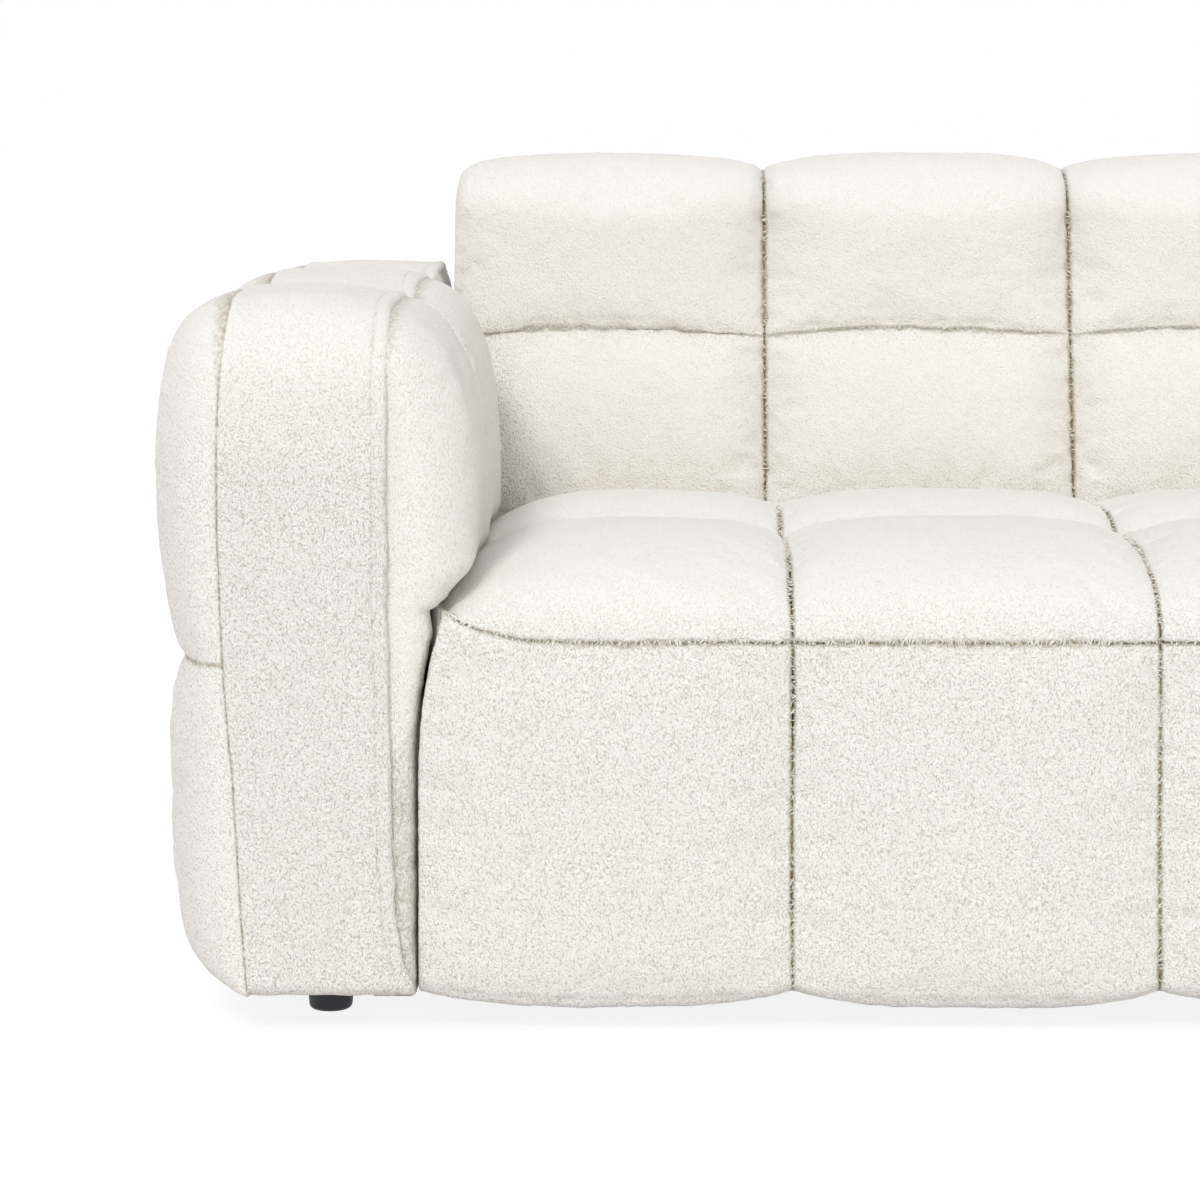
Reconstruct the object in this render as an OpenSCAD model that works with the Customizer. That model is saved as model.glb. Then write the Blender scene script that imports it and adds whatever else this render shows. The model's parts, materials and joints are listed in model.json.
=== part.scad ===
// Low upholstered sofa with tufted seat and back and two soft block arms.
// Frame: origin on the floor under the middle, +X to the sitter's left, -Y to the front, +Z up.

/* [Overall] */
// Number of tufted columns between the arms
column_count = 6; // [4:2:8]
// Width of one tufted column
column_pitch = 298; // [285:1:315]
// Depth from the front panels to the rear of the back
sofa_depth = 900; // [890:2:930]
// Height of the undersides of the covers above the floor
base_z = 30; // [26:1:36]

/* [Seat] */
// Height of the seat's crown above the floor
seat_crown_z = 395; // [388:1:410]
// Height of the sewn seam above the front panels
seat_seam_z = 315; // [300:1:325]
// Depth of the soft roll from the front seam to the crown
seat_roll_depth = 200; // [170:2:230]
// Depth of the sewn channels on the seat's top
seat_groove = 22; // [14:1:24]
// Depth of the sewn channels on the front panels
front_groove = 14; // [8:1:16]
// How far the front panels hang below the channels
scallop_drop = 11; // [3:1:14]

/* [Back] */
// Height of the top of the back
back_top_z = 706; // [700:2:730]
// Depth of the back unit at its foot
back_depth = 245; // [238:1:256]
// Lean of the back from upright, in degrees
back_lean = 12.2; // [11:0.1:13]
// Height of the sewn seam between the two rows of tufts
back_row_z = 531; // [520:1:550]
// Swell of the upper row of tufts
upper_swell = 42; // [30:1:46]
// Swell of the lower row of tufts
lower_swell = 34; // [24:1:38]

/* [Arms] */
// Height of the tops of the arms
arm_top_z = 602; // [590:1:620]
// Width of the sewn band over the arm at mid height
band_width = 138; // [132:1:146]
// Swell of the outer side panel
outer_swell = 60; // [50:1:66]
// How far the inner side panel leans over the seat
inner_reach = 44; // [42:1:50]
// Height of the pinched crease in the outer side panel
crease_z = 298; // [260:2:330]
// Radius of the roll at the front edge of the arm's top
front_roll = 75; // [60:1:90]
// Dip of the sewn seams across the arm's top
arm_dip = 22; // [12:1:26]
// How much lower the arm's top is at its front and rear than at its middle
arm_fall = 9; // [0:1:12]

/* [Timber frame] */
// Thickness of the frame boards
board = 25; // [22:1:28]
// Thickness of the thin side and rear panels
panel = 4; // [3:0.5:5]
// Height of the seat frame's boards
rail_height = 202; // [190:1:206]
// Width of the timber frame inside each arm
arm_frame_width = 110; // [104:1:114]

/* [Springs and foam] */
// Number of zigzag springs across the seat
spring_count = 15; // [9:1:18]
// Thickness of the spring wire
wire = 3.8; // [3.2:0.1:4.2]
// Width of a zigzag spring
spring_width = 50; // [44:1:58]
// Number of bends along a zigzag spring
spring_bends = 24; // [20:2:28]
// Number of webbing bands across the back
band_count = 5; // [3:1:6]
// Thickness of the back foam
back_foam_thickness = 55; // [45:1:60]
// Thickness of the foam pads on the arms
arm_pad = 30; // [22:1:32]

/* [Feet and bolts] */
// Diameter of a foot at its top
foot_d = 42; // [38:1:46]
// Diameter of a foot at the floor
foot_base_d = 36; // [34:1:37]
// Diameter of the bolts and studs
bolt_d = 8; // [6:1:10]

/* [Hidden] */

// Clearances and overrun
fit = 0.3;
overrun = 10;
bolt_clearance = 1;

// Outline of the sofa
seat_depth = sofa_depth - back_depth;
side_ease = 5;
half_seat = column_count * column_pitch / 2 + side_ease;
front_y = -sofa_depth / 2;
back_side_reach = 9;
half_back = half_seat + back_side_reach;

// Walls of cover and wadding between the outlines and the timber
side_wall = 32;
front_wall = 30;
rear_wall = 30;
arm_wall = 40;
hem = 4;
frame_z = base_z + hem;

// Seat frame
frame_half = half_seat - side_wall;
seat_rear_d = seat_depth - rear_wall;
rail_top_z = frame_z + rail_height;

// Colours of the pieces
cover_colour = [0.93, 0.91, 0.88];
foam_colour = [0.95, 0.9, 0.72];
timber_colour = [0.82, 0.68, 0.48];
ply_colour = [0.72, 0.56, 0.38];
steel_colour = [0.72, 0.73, 0.75];
black_colour = [0.13, 0.13, 0.15];
felt_colour = [0.6, 0.6, 0.62];

// Rounded swell across a tuft: nothing at its seams, full at its middle, flatter with a higher power
seat_power = 3.2;
face_power = 5;
back_power = 6;
function swell(t, power = seat_power) = 1 - pow(abs(2 * t - 1), power);
// Quarter round: nothing at 0, full at 1
function quarter(t) = sqrt(max(0, 1 - pow(1 - min(1, t), 2)));
function mix(a, b, t) = a + (b - a) * t;
function middle(points) = [for (k = [0:2]) [for (p = points) p[k]] * [for (p = points) 1 / len(points)]];

// Closed skin over rings of points, every face a triangle, each end a fan about its middle.
// Seen from the first ring, the points of a ring run clockwise.
function skin_faces(n, m) = concat(
    [for (i = [0:n - 2], j = [0:m - 1]) [i * m + j, i * m + (j + 1) % m, (i + 1) * m + (j + 1) % m]],
    [for (i = [0:n - 2], j = [0:m - 1]) [i * m + j, (i + 1) * m + (j + 1) % m, (i + 1) * m + j]],
    [for (j = [0:m - 1]) [n * m, (j + 1) % m, j]],
    [for (j = [0:m - 1]) [n * m + 1, (n - 1) * m + j, (n - 1) * m + (j + 1) % m]]
);
module skin(rings) {
    last = len(rings) - 1;
    points = concat([for (ring = rings) each ring], [middle(rings[0]), middle(rings[last])]);
    polyhedron(points = points, faces = skin_faces(len(rings), len(rings[0])));
}

// Places across the columns where the tufted covers are sampled
side_shares = [0, 0.05, 0.14, 0.28, 0.5, 0.86, 0.95];
inner_shares = [0, 0.05, 0.14, 0.5, 0.86, 0.95];
function mirrored(shares) = [for (k = [len(shares) - 1:-1:1]) 1 - shares[k]];
column_shares = concat(
    side_shares,
    [for (c = [1:column_count - 2], s = inner_shares) c + s],
    [for (s = mirrored(side_shares)) column_count - 1 + s],
    [column_count]
);

// Share of its column at which a place lies, and how far the sides have risen there
function in_column(u) = u - floor(min(u, column_count - 0.001));
function from_side(u) = min(u, column_count - u);
function side_rise(u) = quarter(from_side(u) * 2);
// Distance in from the seat's side; the outer half columns are a little wider
function side_inset(u) = u * (column_pitch + 2 * side_ease);
function seat_x(u) =
    u < 0.5 ? side_inset(u) - half_seat
    : u > column_count - 0.5 ? half_seat - side_inset(column_count - u)
    : (u - column_count / 2) * column_pitch;

// Profile of the seat at one place across it, as depth from the front and height
face_shares = [0, 0.07, 0.22, 0.5, 0.78, 0.93, 1];
roll_steps = 7;
slope_shares = [0.4, 0.75, 0.93, 1];
rear_shares = [0.08, 0.22, 0.45, 0.7, 0.88, 1];
seam_pinch = 8;
cross_dip = 24;
cross_seam_gap = 125;
cross_seam_d = seat_roll_depth + cross_seam_gap;
rear_fall = 45;
rear_swell = 33;
hem_return = 30;
function seat_profile(fill, top_fill, rise) =
    let (
        front = front_groove * (1 - fill),
        groove = seat_groove * (1 - top_fill),
        low = base_z - scallop_drop * fill,
        roll_h = (seat_crown_z - seat_seam_z) * rise,
        crown = seat_seam_z + roll_h,
        seam = seat_seam_z + (seat_crown_z - cross_dip - seat_seam_z) * rise,
        rear = seat_seam_z + (seat_crown_z - rear_fall - seat_seam_z) * rise
    ) concat(
        [for (t = face_shares) [front + seam_pinch * (1 - swell(t)), mix(low, seat_seam_z, t)]],
        [for (k = [1:roll_steps]) let (angle = 90 * k / roll_steps)
            [mix(front, 0, k / roll_steps) + mix(seam_pinch, seat_roll_depth, 1 - cos(angle)),
             seat_seam_z + (roll_h - groove) * sin(angle)]],
        [for (t = slope_shares)
            [mix(seat_roll_depth, cross_seam_d, t), mix(crown, seam, t * t) - groove]],
        [for (t = rear_shares) [mix(cross_seam_d, seat_depth, t),
            mix(seam, rear, t) + rear_swell * rise * swell(t) - groove * (1 - t / 2)]],
        [[seat_depth, base_z], [front_wall + hem_return, base_z]]
    );
function seat_ring(u) =
    let (
        edge = from_side(u) < 0.5,
        share = in_column(u),
        profile = seat_profile(swell(share, face_power), edge ? 1 : swell(share), side_rise(u))
    ) [for (p = profile) [seat_x(u), front_y + p[0], p[1]]];

// Profile of the back, leaning from the deck to a rolled top
back_foot_z = 360;
back_foot_gap = 8;
back_foot_d = seat_depth + back_foot_gap;
top_roll_h = 64;
top_roll_depth = 110;
roll_z = back_top_z - top_roll_h;
roll_middle_d = sofa_depth - top_roll_depth;
top_groove = 20;
low_shares = [0, 0.07, 0.22, 0.5, 0.78, 0.93];
up_shares = [0, 0.1, 0.3, 0.65, 1];
roll_angle = 18;
function lean_d(z) = back_foot_d + (z - back_foot_z) * tan(back_lean);
function full_row(t) = t < 0.3 ? swell(t / 0.6) : 1;
function back_profile(fill) = concat(
    [[seat_depth + fit, base_z], [seat_depth + fit, back_foot_z - 2 * hem]],
    [for (t = low_shares) let (z = mix(back_foot_z, back_row_z, t))
        [lean_d(z) - lower_swell * fill * swell(t), z]],
    [for (t = up_shares) let (z = mix(back_row_z, roll_z, t))
        [lean_d(z) - upper_swell * fill * full_row(t), z]],
    [for (angle = [roll_angle:roll_angle:180])
        let (front_reach = roll_middle_d - lean_d(roll_z) + upper_swell * fill,
             reach = angle < 90 ? front_reach : sofa_depth - roll_middle_d)
        [roll_middle_d - reach * cos(angle),
         roll_z + (back_top_z - roll_z - top_groove * (1 - fill)) * sin(angle)]],
    [[sofa_depth, base_z]]
);
function back_ring(u) = [for (p = back_profile(swell(in_column(u), back_power)))
    [seat_x(u) * half_back / half_seat, front_y + p[0], p[1]]];

// Profile of the right arm, as distance outwards from the seat's side and height
welt_in = 30;
front_welt_drop = 12;
rear_welt_drop = 3;
shoulder_drop = 4;
band_in = 20;
arm_section_count = 3;
arm_section = sofa_depth / arm_section_count;
inner_rise_d = 60;
outer_rise_d = 120;
rear_fade_d = 95;
press_gap = 15;
press_d = seat_depth - press_gap;
line_u1 = side_shares[1];
line_u2 = side_shares[2];
reach_shares = [0.04, 0.26, 0.5, 0.74, 0.9];
top_shares = [0, 0.12, 0.35, 0.65, 0.88, 1];
upper_shares = [0.985, 0.93, 0.8, 0.6, 0.35, 0.12, 0];
lower_shares = [0.06, 0.25, 0.55, 0.82, 0.93, 0.98, 1];
lower_lobe_share = 0.86;
crease_share = 0.6;
upper_power = 9;
lower_power = 14;
band_power = 2.5;
crease_power = 8;
top_power = 4;
reach_power = 1.6;

function inner_fill(d) =
    let (
        front = quarter(d / inner_rise_d),
        rear = quarter((sofa_depth - d) / inner_rise_d),
        pressed_share = (welt_in - back_side_reach - 2 * fit) / (welt_in + inner_reach),
        squeeze = min(1, max(0, (press_d - d) / rear_fade_d))
    ) min(front, rear, mix(pressed_share, 1, quarter(squeeze)));
function outer_fill(d) = min(quarter(d / outer_rise_d), quarter((sofa_depth - d) / outer_rise_d));
function arm_crest(d) =
    arm_top_z
    - arm_fall * pow(2 * d / sofa_depth - 1, 2)
    - front_roll * (1 - quarter(d / front_roll))
    - front_roll * (1 - quarter((sofa_depth - d) / front_roll));
function section_dip(d) =
    (d < arm_section / 2 || d > sofa_depth - arm_section / 2)
        ? 0
        : arm_dip * (1 - swell((d % arm_section) / arm_section));
function line_z(u) = seat_seam_z + (seat_crown_z - seat_seam_z) * side_rise(u) + 2 * fit;
function band_edge(z) =
    let (t = (z - base_z) / (arm_top_z - base_z))
    welt_in + band_width - band_in * pow(abs(2 * t - 1), band_power);
function lobe(t, foot, power) = sqrt(1 - pow(t, power)) * (1 - (1 - foot) * pow(1 - t, crease_power));

function arm_profile(d) =
    let (
        crest = arm_crest(d) - section_dip(d),
        welt_drop = mix(front_welt_drop, rear_welt_drop, d / sofa_depth),
        welt_z = crest - welt_drop,
        edge_z = crest - shoulder_drop,
        fill = inner_fill(d),
        bulge = outer_swell * outer_fill(d),
        upper_h = edge_z - crease_z,
        lower_h = crease_z - base_z - hem
    ) concat(
        [for (z = [base_z, (base_z + seat_seam_z) / 2, seat_seam_z]) [mix(welt_in, fit, fill), z]],
        [for (u = [line_u1, line_u2]) [mix(welt_in, fit - side_inset(u), fill), line_z(u)]],
        [for (t = reach_shares)
            [mix(welt_in, mix(welt_in, -inner_reach, quarter(1 - pow(t, reach_power))), fill),
             mix(line_z(line_u2) + hem, welt_z, t)]],
        [for (t = top_shares)
            [mix(welt_in, band_edge(arm_top_z), t),
             crest - (t < 0.5 ? welt_drop : shoulder_drop) * pow(abs(2 * t - 1), top_power)]],
        [for (t = upper_shares)
            [band_edge(crease_z + t * upper_h) + bulge * lobe(t, crease_share, upper_power),
             crease_z + t * upper_h]],
        [for (t = lower_shares)
            [band_edge(crease_z - t * lower_h)
                + bulge * lower_lobe_share * lobe(t, crease_share / lower_lobe_share, lower_power),
             crease_z - t * lower_h]],
        [[band_edge(base_z) + hem, base_z]]
    );
end_shares = [0, 0.01, 0.033, 0.093, 0.2, 0.37];
first_shares = [0.6, 0.8, 0.93];
section_shares = [0, 0.07, 0.25, 0.5, 0.75, 0.93];
last_shares = [0, 0.07, 0.2, 0.4];
arm_steps = concat(
    end_shares * arm_section,
    first_shares * arm_section,
    [for (s = section_shares) (1 + s) * arm_section],
    [for (s = last_shares) (2 + s) * arm_section],
    [for (k = [len(end_shares) - 1:-1:0]) sofa_depth - end_shares[k] * arm_section]
);
function arm_ring(d) = [for (p = arm_profile(d)) [half_seat + p[0], front_y + d, p[1]]];

// Puts a piece on the right arm, or mirrored on the left one
module on_side(side) {
    if (side == "left") mirror([1, 0, 0]) children();
    else children();
}

// Box between two corners, given by outward distance, depth and height on the right arm
module arm_box(low, high) {
    translate([half_seat + low[0], front_y + low[1], low[2]]) cube(high - low);
}
// Box between two corners, given by place across, depth and height
module seat_box(low, high) {
    translate([low[0], front_y + low[1], low[2]]) cube(high - low);
}
module along_x(x, length) {
    translate([x, 0, 0]) rotate([90, 0, 90]) linear_extrude(length) children();
}

// Bolted joints between the units
bolt_z = 130;
side_bolt_front_d = 150;
side_bolt_rear_gap = 120;
side_bolt_ds = [side_bolt_front_d, seat_rear_d - side_bolt_rear_gap];
back_bolt_shares = [-0.75, -0.25, 0.25, 0.75];
back_bolt_xs = back_bolt_shares * frame_half;
spacer_w = 50;
window_room = 10;
window = spacer_w + window_room;
spacer_length = side_wall + arm_wall;
washer_d = 3 * bolt_d;
washer_t = 2;
head_flats = 13;
head_t = 5.5;
tee_flange_d = 24;
tee_flange_t = 1.6;
tee_wall = 1.5;
tee_barrel_d = bolt_d + 2 * tee_wall;
tee_barrel_h = 14;
bolt_tail = 4;
bore_d = bolt_d + bolt_clearance;
back_frame_d = seat_rear_d + spacer_length;
pad_clear = 1;

// Runs its children at each joint, turned so that +Z points from the seat frame outwards
module at_joints() {
    for (d = side_bolt_ds) for (side = ["left", "right"]) on_side(side)
        translate([frame_half, front_y + d, bolt_z]) rotate([0, 90, 0]) children();
    for (x = back_bolt_xs) translate([x, front_y + seat_rear_d, bolt_z]) rotate([-90, 0, 0]) children();
}
module side_windows(length) {
    for (d = side_bolt_ds)
        translate([frame_half - overrun, front_y + d - window / 2, bolt_z - window / 2])
            cube([length, window, window]);
}
module rear_windows(length) {
    for (x = back_bolt_xs)
        translate([x - window / 2, front_y + seat_rear_d - overrun, bolt_z - window / 2])
            cube([window, length, window]);
}

// Seat unit
felt_t = 4;
clip_t = 1.2;
clip_w = 20;
tie_d = 2.5;
spring_z = rail_top_z + clip_t + fit;
tie_z = spring_z + wire + fit;
felt_z = tie_z + tie_d + fit;
foam_z = felt_z + felt_t + fit;
foam_depth_under_crown = 63;
foam_front_gap = 26;
foam_rear_gap = 12;
foam_side_gap = 28;
foam_top_z = seat_crown_z - foam_depth_under_crown;
foam_front_d = front_wall + foam_front_gap;
foam_rear_d = seat_rear_d - foam_rear_gap;
foam_half = frame_half - foam_side_gap;
foam_round = 18;
tie_wire_count = 2;

module seat_cover() {
    color(cover_colour) difference() {
        skin([for (u = column_shares) seat_ring(u)]);
        seat_box([-frame_half - fit, front_wall - fit, -overrun],
                 [frame_half + fit, seat_rear_d + fit, foam_z]);
        seat_box([-foam_half - fit, foam_front_d - fit, foam_z - overrun],
                 [foam_half + fit, foam_rear_d + fit, foam_top_z + fit]);
        for (side = ["left", "right"]) on_side(side) side_windows(side_wall + 2 * overrun);
        rear_windows(rear_wall + 2 * overrun);
    }
}
module seat_foam() {
    color(foam_colour) along_x(-foam_half, 2 * foam_half) {
        difference() {
            translate([front_y + foam_front_d, foam_z])
                square([foam_rear_d - foam_front_d, foam_top_z - foam_z]);
            translate([front_y + foam_front_d, foam_top_z - foam_round]) difference() {
                translate([-overrun, 0]) square([foam_round + overrun, foam_round + overrun]);
                translate([foam_round, 0]) circle(r = foam_round, $fn = 48);
            }
        }
    }
}
module seat_felt() {
    color(felt_colour)
        seat_box([-frame_half, front_wall, felt_z], [frame_half, seat_rear_d, felt_z + felt_t]);
}

// Zigzag springs run from front to rear over the frame
clip_inset = board / 2;
spring_front_d = front_wall + clip_inset;
spring_rear_d = seat_rear_d - clip_inset;
bend_pitch = (spring_rear_d - spring_front_d) / spring_bends;
bar_length = spring_width - bend_pitch - wire;
spring_room = 2 * (frame_half - board - spring_width);
spring_pitch = spring_room / (spring_count - 1);
module at_springs() {
    for (k = [0:spring_count - 1])
        translate([k * spring_pitch - spring_room / 2, front_y, 0]) children();
}
module zigzag() {
    bend_r = bend_pitch / 2;
    translate([0, spring_front_d, spring_z]) linear_extrude(wire) union() {
        for (k = [0:spring_bends])
            translate([-bar_length / 2, k * bend_pitch - wire / 2]) square([bar_length, wire]);
        for (k = [0:spring_bends - 1]) let (turn = k % 2 == 0 ? 0 : 1)
            translate([0, (k + 0.5) * bend_pitch]) mirror([turn, 0]) translate([bar_length / 2, 0])
                difference() {
                    circle(r = bend_r + wire / 2, $fn = 32);
                    circle(r = bend_r - wire / 2, $fn = 32);
                    translate([-2 * bend_pitch, -bend_pitch]) square([2 * bend_pitch, 2 * bend_pitch]);
                }
    }
}
module seat_springs() {
    color(steel_colour) at_springs() zigzag();
}

// Bent steel clip: a plate on the rail and a lip curled over the end of the spring
clip_reach = 9;
clip_inner = wire + 2 * fit;
module clip() {
    translate([-clip_w / 2, 0, rail_top_z]) rotate([90, 0, 90]) linear_extrude(clip_w) {
        translate([-clip_reach, 0]) square([2 * clip_reach, clip_t]);
        translate([-clip_reach, 0]) square([clip_t, clip_inner + 2 * clip_t]);
        translate([-clip_reach, clip_t + clip_inner]) square([clip_reach + wire / 2, clip_t]);
    }
}
module spring_clips() {
    color(steel_colour) at_springs() {
        translate([0, spring_front_d, 0]) clip();
        translate([0, spring_rear_d, 0]) mirror([0, 1, 0]) clip();
    }
}
module spring_tie_wires() {
    tie_length = spring_room + spring_width;
    color(steel_colour) for (k = [1:tie_wire_count])
        translate([-tie_length / 2, front_y + mix(front_wall, seat_rear_d, k / (tie_wire_count + 1)),
                   tie_z + tie_d / 2])
            rotate([0, 90, 0]) cylinder(d = tie_d, h = tie_length, $fn = 24);
}
module seat_front_rail() {
    color(timber_colour)
        seat_box([-frame_half, front_wall, frame_z], [frame_half, front_wall + board, rail_top_z]);
}
module seat_rear_rail() {
    color(timber_colour) difference() {
        seat_box([-frame_half, seat_rear_d - board, frame_z], [frame_half, seat_rear_d, rail_top_z]);
        at_joints() translate([0, 0, -board - overrun])
            cylinder(d = bore_d, h = board + 2 * overrun, $fn = 32);
    }
}
module seat_side_rails() {
    color(timber_colour) difference() {
        for (side = ["left", "right"]) on_side(side)
            seat_box([frame_half - board, front_wall + board, frame_z],
                     [frame_half, seat_rear_d - board, rail_top_z]);
        at_joints() translate([0, 0, -board - overrun])
            cylinder(d = bore_d, h = board + 2 * overrun, $fn = 32);
    }
}

// Stretchers from front to rear, their tops cut to a shallow curve below the springs
stretcher_xs = [-frame_half / 2, 0, frame_half / 2];
block_h = 30;
stretcher_low_z = frame_z + block_h;
stretcher_sag = 40;
module seat_stretchers() {
    length = seat_rear_d - front_wall - 2 * board;
    sag_r = (length * length / 4 + stretcher_sag * stretcher_sag) / (2 * stretcher_sag);
    color(timber_colour) for (x = stretcher_xs)
        along_x(x - board / 2, board) translate([front_y + front_wall + board, 0]) difference() {
            translate([0, stretcher_low_z]) square([length, rail_top_z - stretcher_low_z]);
            translate([length / 2, rail_top_z - stretcher_sag + sag_r]) circle(r = sag_r, $fn = 180);
        }
}
corner_leg = 60;
corner_h = 120;
module seat_corner_blocks() {
    color(timber_colour) for (side = ["left", "right"]) on_side(side) {
        translate([frame_half - board, front_y + front_wall + board, frame_z])
            linear_extrude(corner_h) polygon([[0, 0], [-corner_leg, 0], [0, corner_leg]]);
        translate([frame_half - board, front_y + seat_rear_d - board, frame_z])
            linear_extrude(corner_h) polygon([[0, 0], [-corner_leg, 0], [0, -corner_leg]]);
    }
}

// Feet: two under each arm and two under the middle of the seat
foot_inset_d = 98;
foot_a = arm_wall + foot_d - hem;
block_w = 90;
block_depth = 70;
centre_foot_ds = [front_wall + board + block_depth / 2, seat_rear_d - board - block_depth / 2];
arm_foot_ds = [foot_inset_d, sofa_depth - foot_inset_d];
arm_board_t = 20;
module at_arm_feet() {
    for (side = ["left", "right"]) on_side(side) for (d = arm_foot_ds)
        translate([half_seat + foot_a, front_y + d, 0]) children();
}
module at_centre_feet() {
    for (d = centre_foot_ds) translate([0, front_y + d, 0]) children();
}
module tee_nut_hole(top_z) {
    translate([0, 0, -overrun]) cylinder(d = tee_barrel_d + 2 * fit, h = top_z + 2 * overrun, $fn = 32);
}
module centre_foot_blocks() {
    color(timber_colour) difference() {
        for (d = centre_foot_ds)
            seat_box([-block_w / 2, d - block_depth / 2, frame_z],
                     [block_w / 2, d + block_depth / 2, stretcher_low_z]);
        at_centre_feet() {
            tee_nut_hole(stretcher_low_z);
            translate([0, 0, stretcher_low_z - tee_flange_t - 2 * fit])
                cylinder(d = tee_flange_d + 2 * fit, h = overrun, $fn = 48);
        }
    }
}
dust_t = 1;
dust_z = frame_z - dust_t - fit;
module seat_dust_cover() {
    color(black_colour) difference() {
        seat_box([-frame_half, front_wall, dust_z], [frame_half, seat_rear_d, dust_z + dust_t]);
        at_centre_feet() tee_nut_hole(frame_z);
    }
}

// Back unit
back_rear_wall = 32;
back_rear_d = sofa_depth - back_rear_wall;
back_rail_h = 190;
rear_rail_h = 80;
rear_rail_z = 300;
upright_top_z = roll_z;
top_rail_t = 20;
web_t = 2;
foam_skin = 12;
foam_over_roll = 22;
foam_top = roll_z + foam_over_roll;
function foam_face_d(z) = lean_d(z) + foam_skin;
function web_face_d(z) = foam_face_d(z) + (back_foam_thickness + fit) / cos(back_lean);
function upright_face_d(z) = web_face_d(z) + (web_t + fit) / cos(back_lean);
module back_cavity() {
    along_x(-frame_half - fit, 2 * (frame_half + fit)) translate([front_y, 0]) polygon([
        [back_frame_d - fit, -overrun],
        [back_frame_d - fit, back_foot_z],
        [foam_face_d(back_foot_z) - fit, back_foot_z],
        [foam_face_d(foam_top) - fit, foam_top + fit],
        [back_rear_d + panel + fit, foam_top + fit],
        [back_rear_d + panel + fit, -overrun]
    ]);
}
module back_cover() {
    color(cover_colour) difference() {
        skin([for (u = column_shares) back_ring(u)]);
        back_cavity();
        rear_windows(spacer_length + 2 * overrun);
    }
}
module back_foam() {
    color(foam_colour) along_x(-frame_half, 2 * frame_half) translate([front_y, 0]) polygon([
        [foam_face_d(back_foot_z + fit), back_foot_z + fit],
        [foam_face_d(foam_top), foam_top],
        [web_face_d(foam_top) - fit / cos(back_lean), foam_top],
        [web_face_d(back_foot_z) - fit / cos(back_lean), back_foot_z + fit]
    ]);
}
web_h = 50;
module back_webbing() {
    room = (upright_top_z - back_foot_z) / band_count;
    color(black_colour) for (k = [0:band_count - 1])
        let (low = back_foot_z + (k + 0.5) * room - web_h / 2, high = low + web_h)
            along_x(-frame_half, 2 * frame_half) translate([front_y, 0]) polygon([
                [web_face_d(low), low],
                [web_face_d(high), high],
                [web_face_d(high) + web_t / cos(back_lean), high],
                [web_face_d(low) + web_t / cos(back_lean), low]
            ]);
}
upright_shares = [-1, -1 / 3, 1 / 3, 1];
module back_uprights() {
    notch = board;
    color(ply_colour) for (s = upright_shares)
        along_x(s * (frame_half - board / 2) - board / 2, board) translate([front_y, 0]) difference() {
            polygon([
                [back_frame_d + board, frame_z],
                [back_frame_d + board, back_foot_z],
                [upright_face_d(back_foot_z), back_foot_z],
                [upright_face_d(upright_top_z), upright_top_z],
                [back_rear_d, upright_top_z],
                [back_rear_d, frame_z]
            ]);
            translate([back_rear_d - notch, rear_rail_z]) square([notch + overrun, rear_rail_h]);
        }
}
module back_bottom_rail() {
    color(timber_colour) difference() {
        seat_box([-frame_half, back_frame_d, frame_z],
                 [frame_half, back_frame_d + board, frame_z + back_rail_h]);
        at_joints() cylinder(d = tee_barrel_d + 2 * fit, h = spacer_length + board + overrun, $fn = 32);
    }
}
module back_rear_rail() {
    color(timber_colour)
        seat_box([-frame_half, back_rear_d - board, rear_rail_z],
                 [frame_half, back_rear_d, rear_rail_z + rear_rail_h]);
}
module back_top_rail() {
    color(timber_colour)
        seat_box([-frame_half, upright_face_d(upright_top_z + top_rail_t), upright_top_z],
                 [frame_half, back_rear_d, upright_top_z + top_rail_t]);
}
module back_rear_panel() {
    color(ply_colour)
        seat_box([-frame_half, back_rear_d, frame_z],
                 [frame_half, back_rear_d + panel, upright_top_z + top_rail_t]);
}
module back_dust_cover() {
    color(black_colour)
        seat_box([-frame_half, back_frame_d, dust_z],
                 [frame_half, back_rear_d + panel, dust_z + dust_t]);
}

// Arm units
arm_front_d = front_wall;
arm_rear_d = sofa_depth - front_wall;
arm_in = arm_wall;
arm_out = arm_wall + arm_frame_width;
arm_crown = 100;
top_pad_cover = 50;
side_pad_hem = 45;
arm_board_z = arm_top_z - arm_crown;
top_pad_z = arm_board_z + arm_board_t + fit;
top_pad_top = arm_top_z - top_pad_cover;
pad_low_z = base_z + side_pad_hem;
pad_high_z = arm_board_z + arm_board_t;
pad_in = arm_in - panel - fit;
pad_out = arm_out + panel + fit;
inner_pad_front_d = inner_rise_d + hem;
inner_pad_rear_d = press_d - rear_fade_d + 2 * hem;
outer_pad_inset = 45;
top_pad_inset = 60;

module arm_cover(side) {
    color(cover_colour) on_side(side) difference() {
        skin([for (k = [len(arm_steps) - 1:-1:0]) arm_ring(arm_steps[k])]);
        arm_box([arm_in - panel - fit, arm_front_d - fit, -overrun],
                [arm_out + panel + fit, arm_rear_d + fit, top_pad_z]);
        arm_box([pad_in - arm_pad - fit, inner_pad_front_d - fit, pad_low_z - fit],
                [pad_in + overrun, inner_pad_rear_d + fit, pad_high_z + fit]);
        arm_box([pad_out - overrun, outer_pad_inset - fit, pad_low_z - fit],
                [pad_out + arm_pad + fit, sofa_depth - outer_pad_inset + fit, pad_high_z + fit]);
        arm_box([arm_in - fit, top_pad_inset - fit, top_pad_z - overrun],
                [arm_out + fit, sofa_depth - top_pad_inset + fit, top_pad_top + fit]);
        side_windows(spacer_length + overrun);
    }
}
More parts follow.
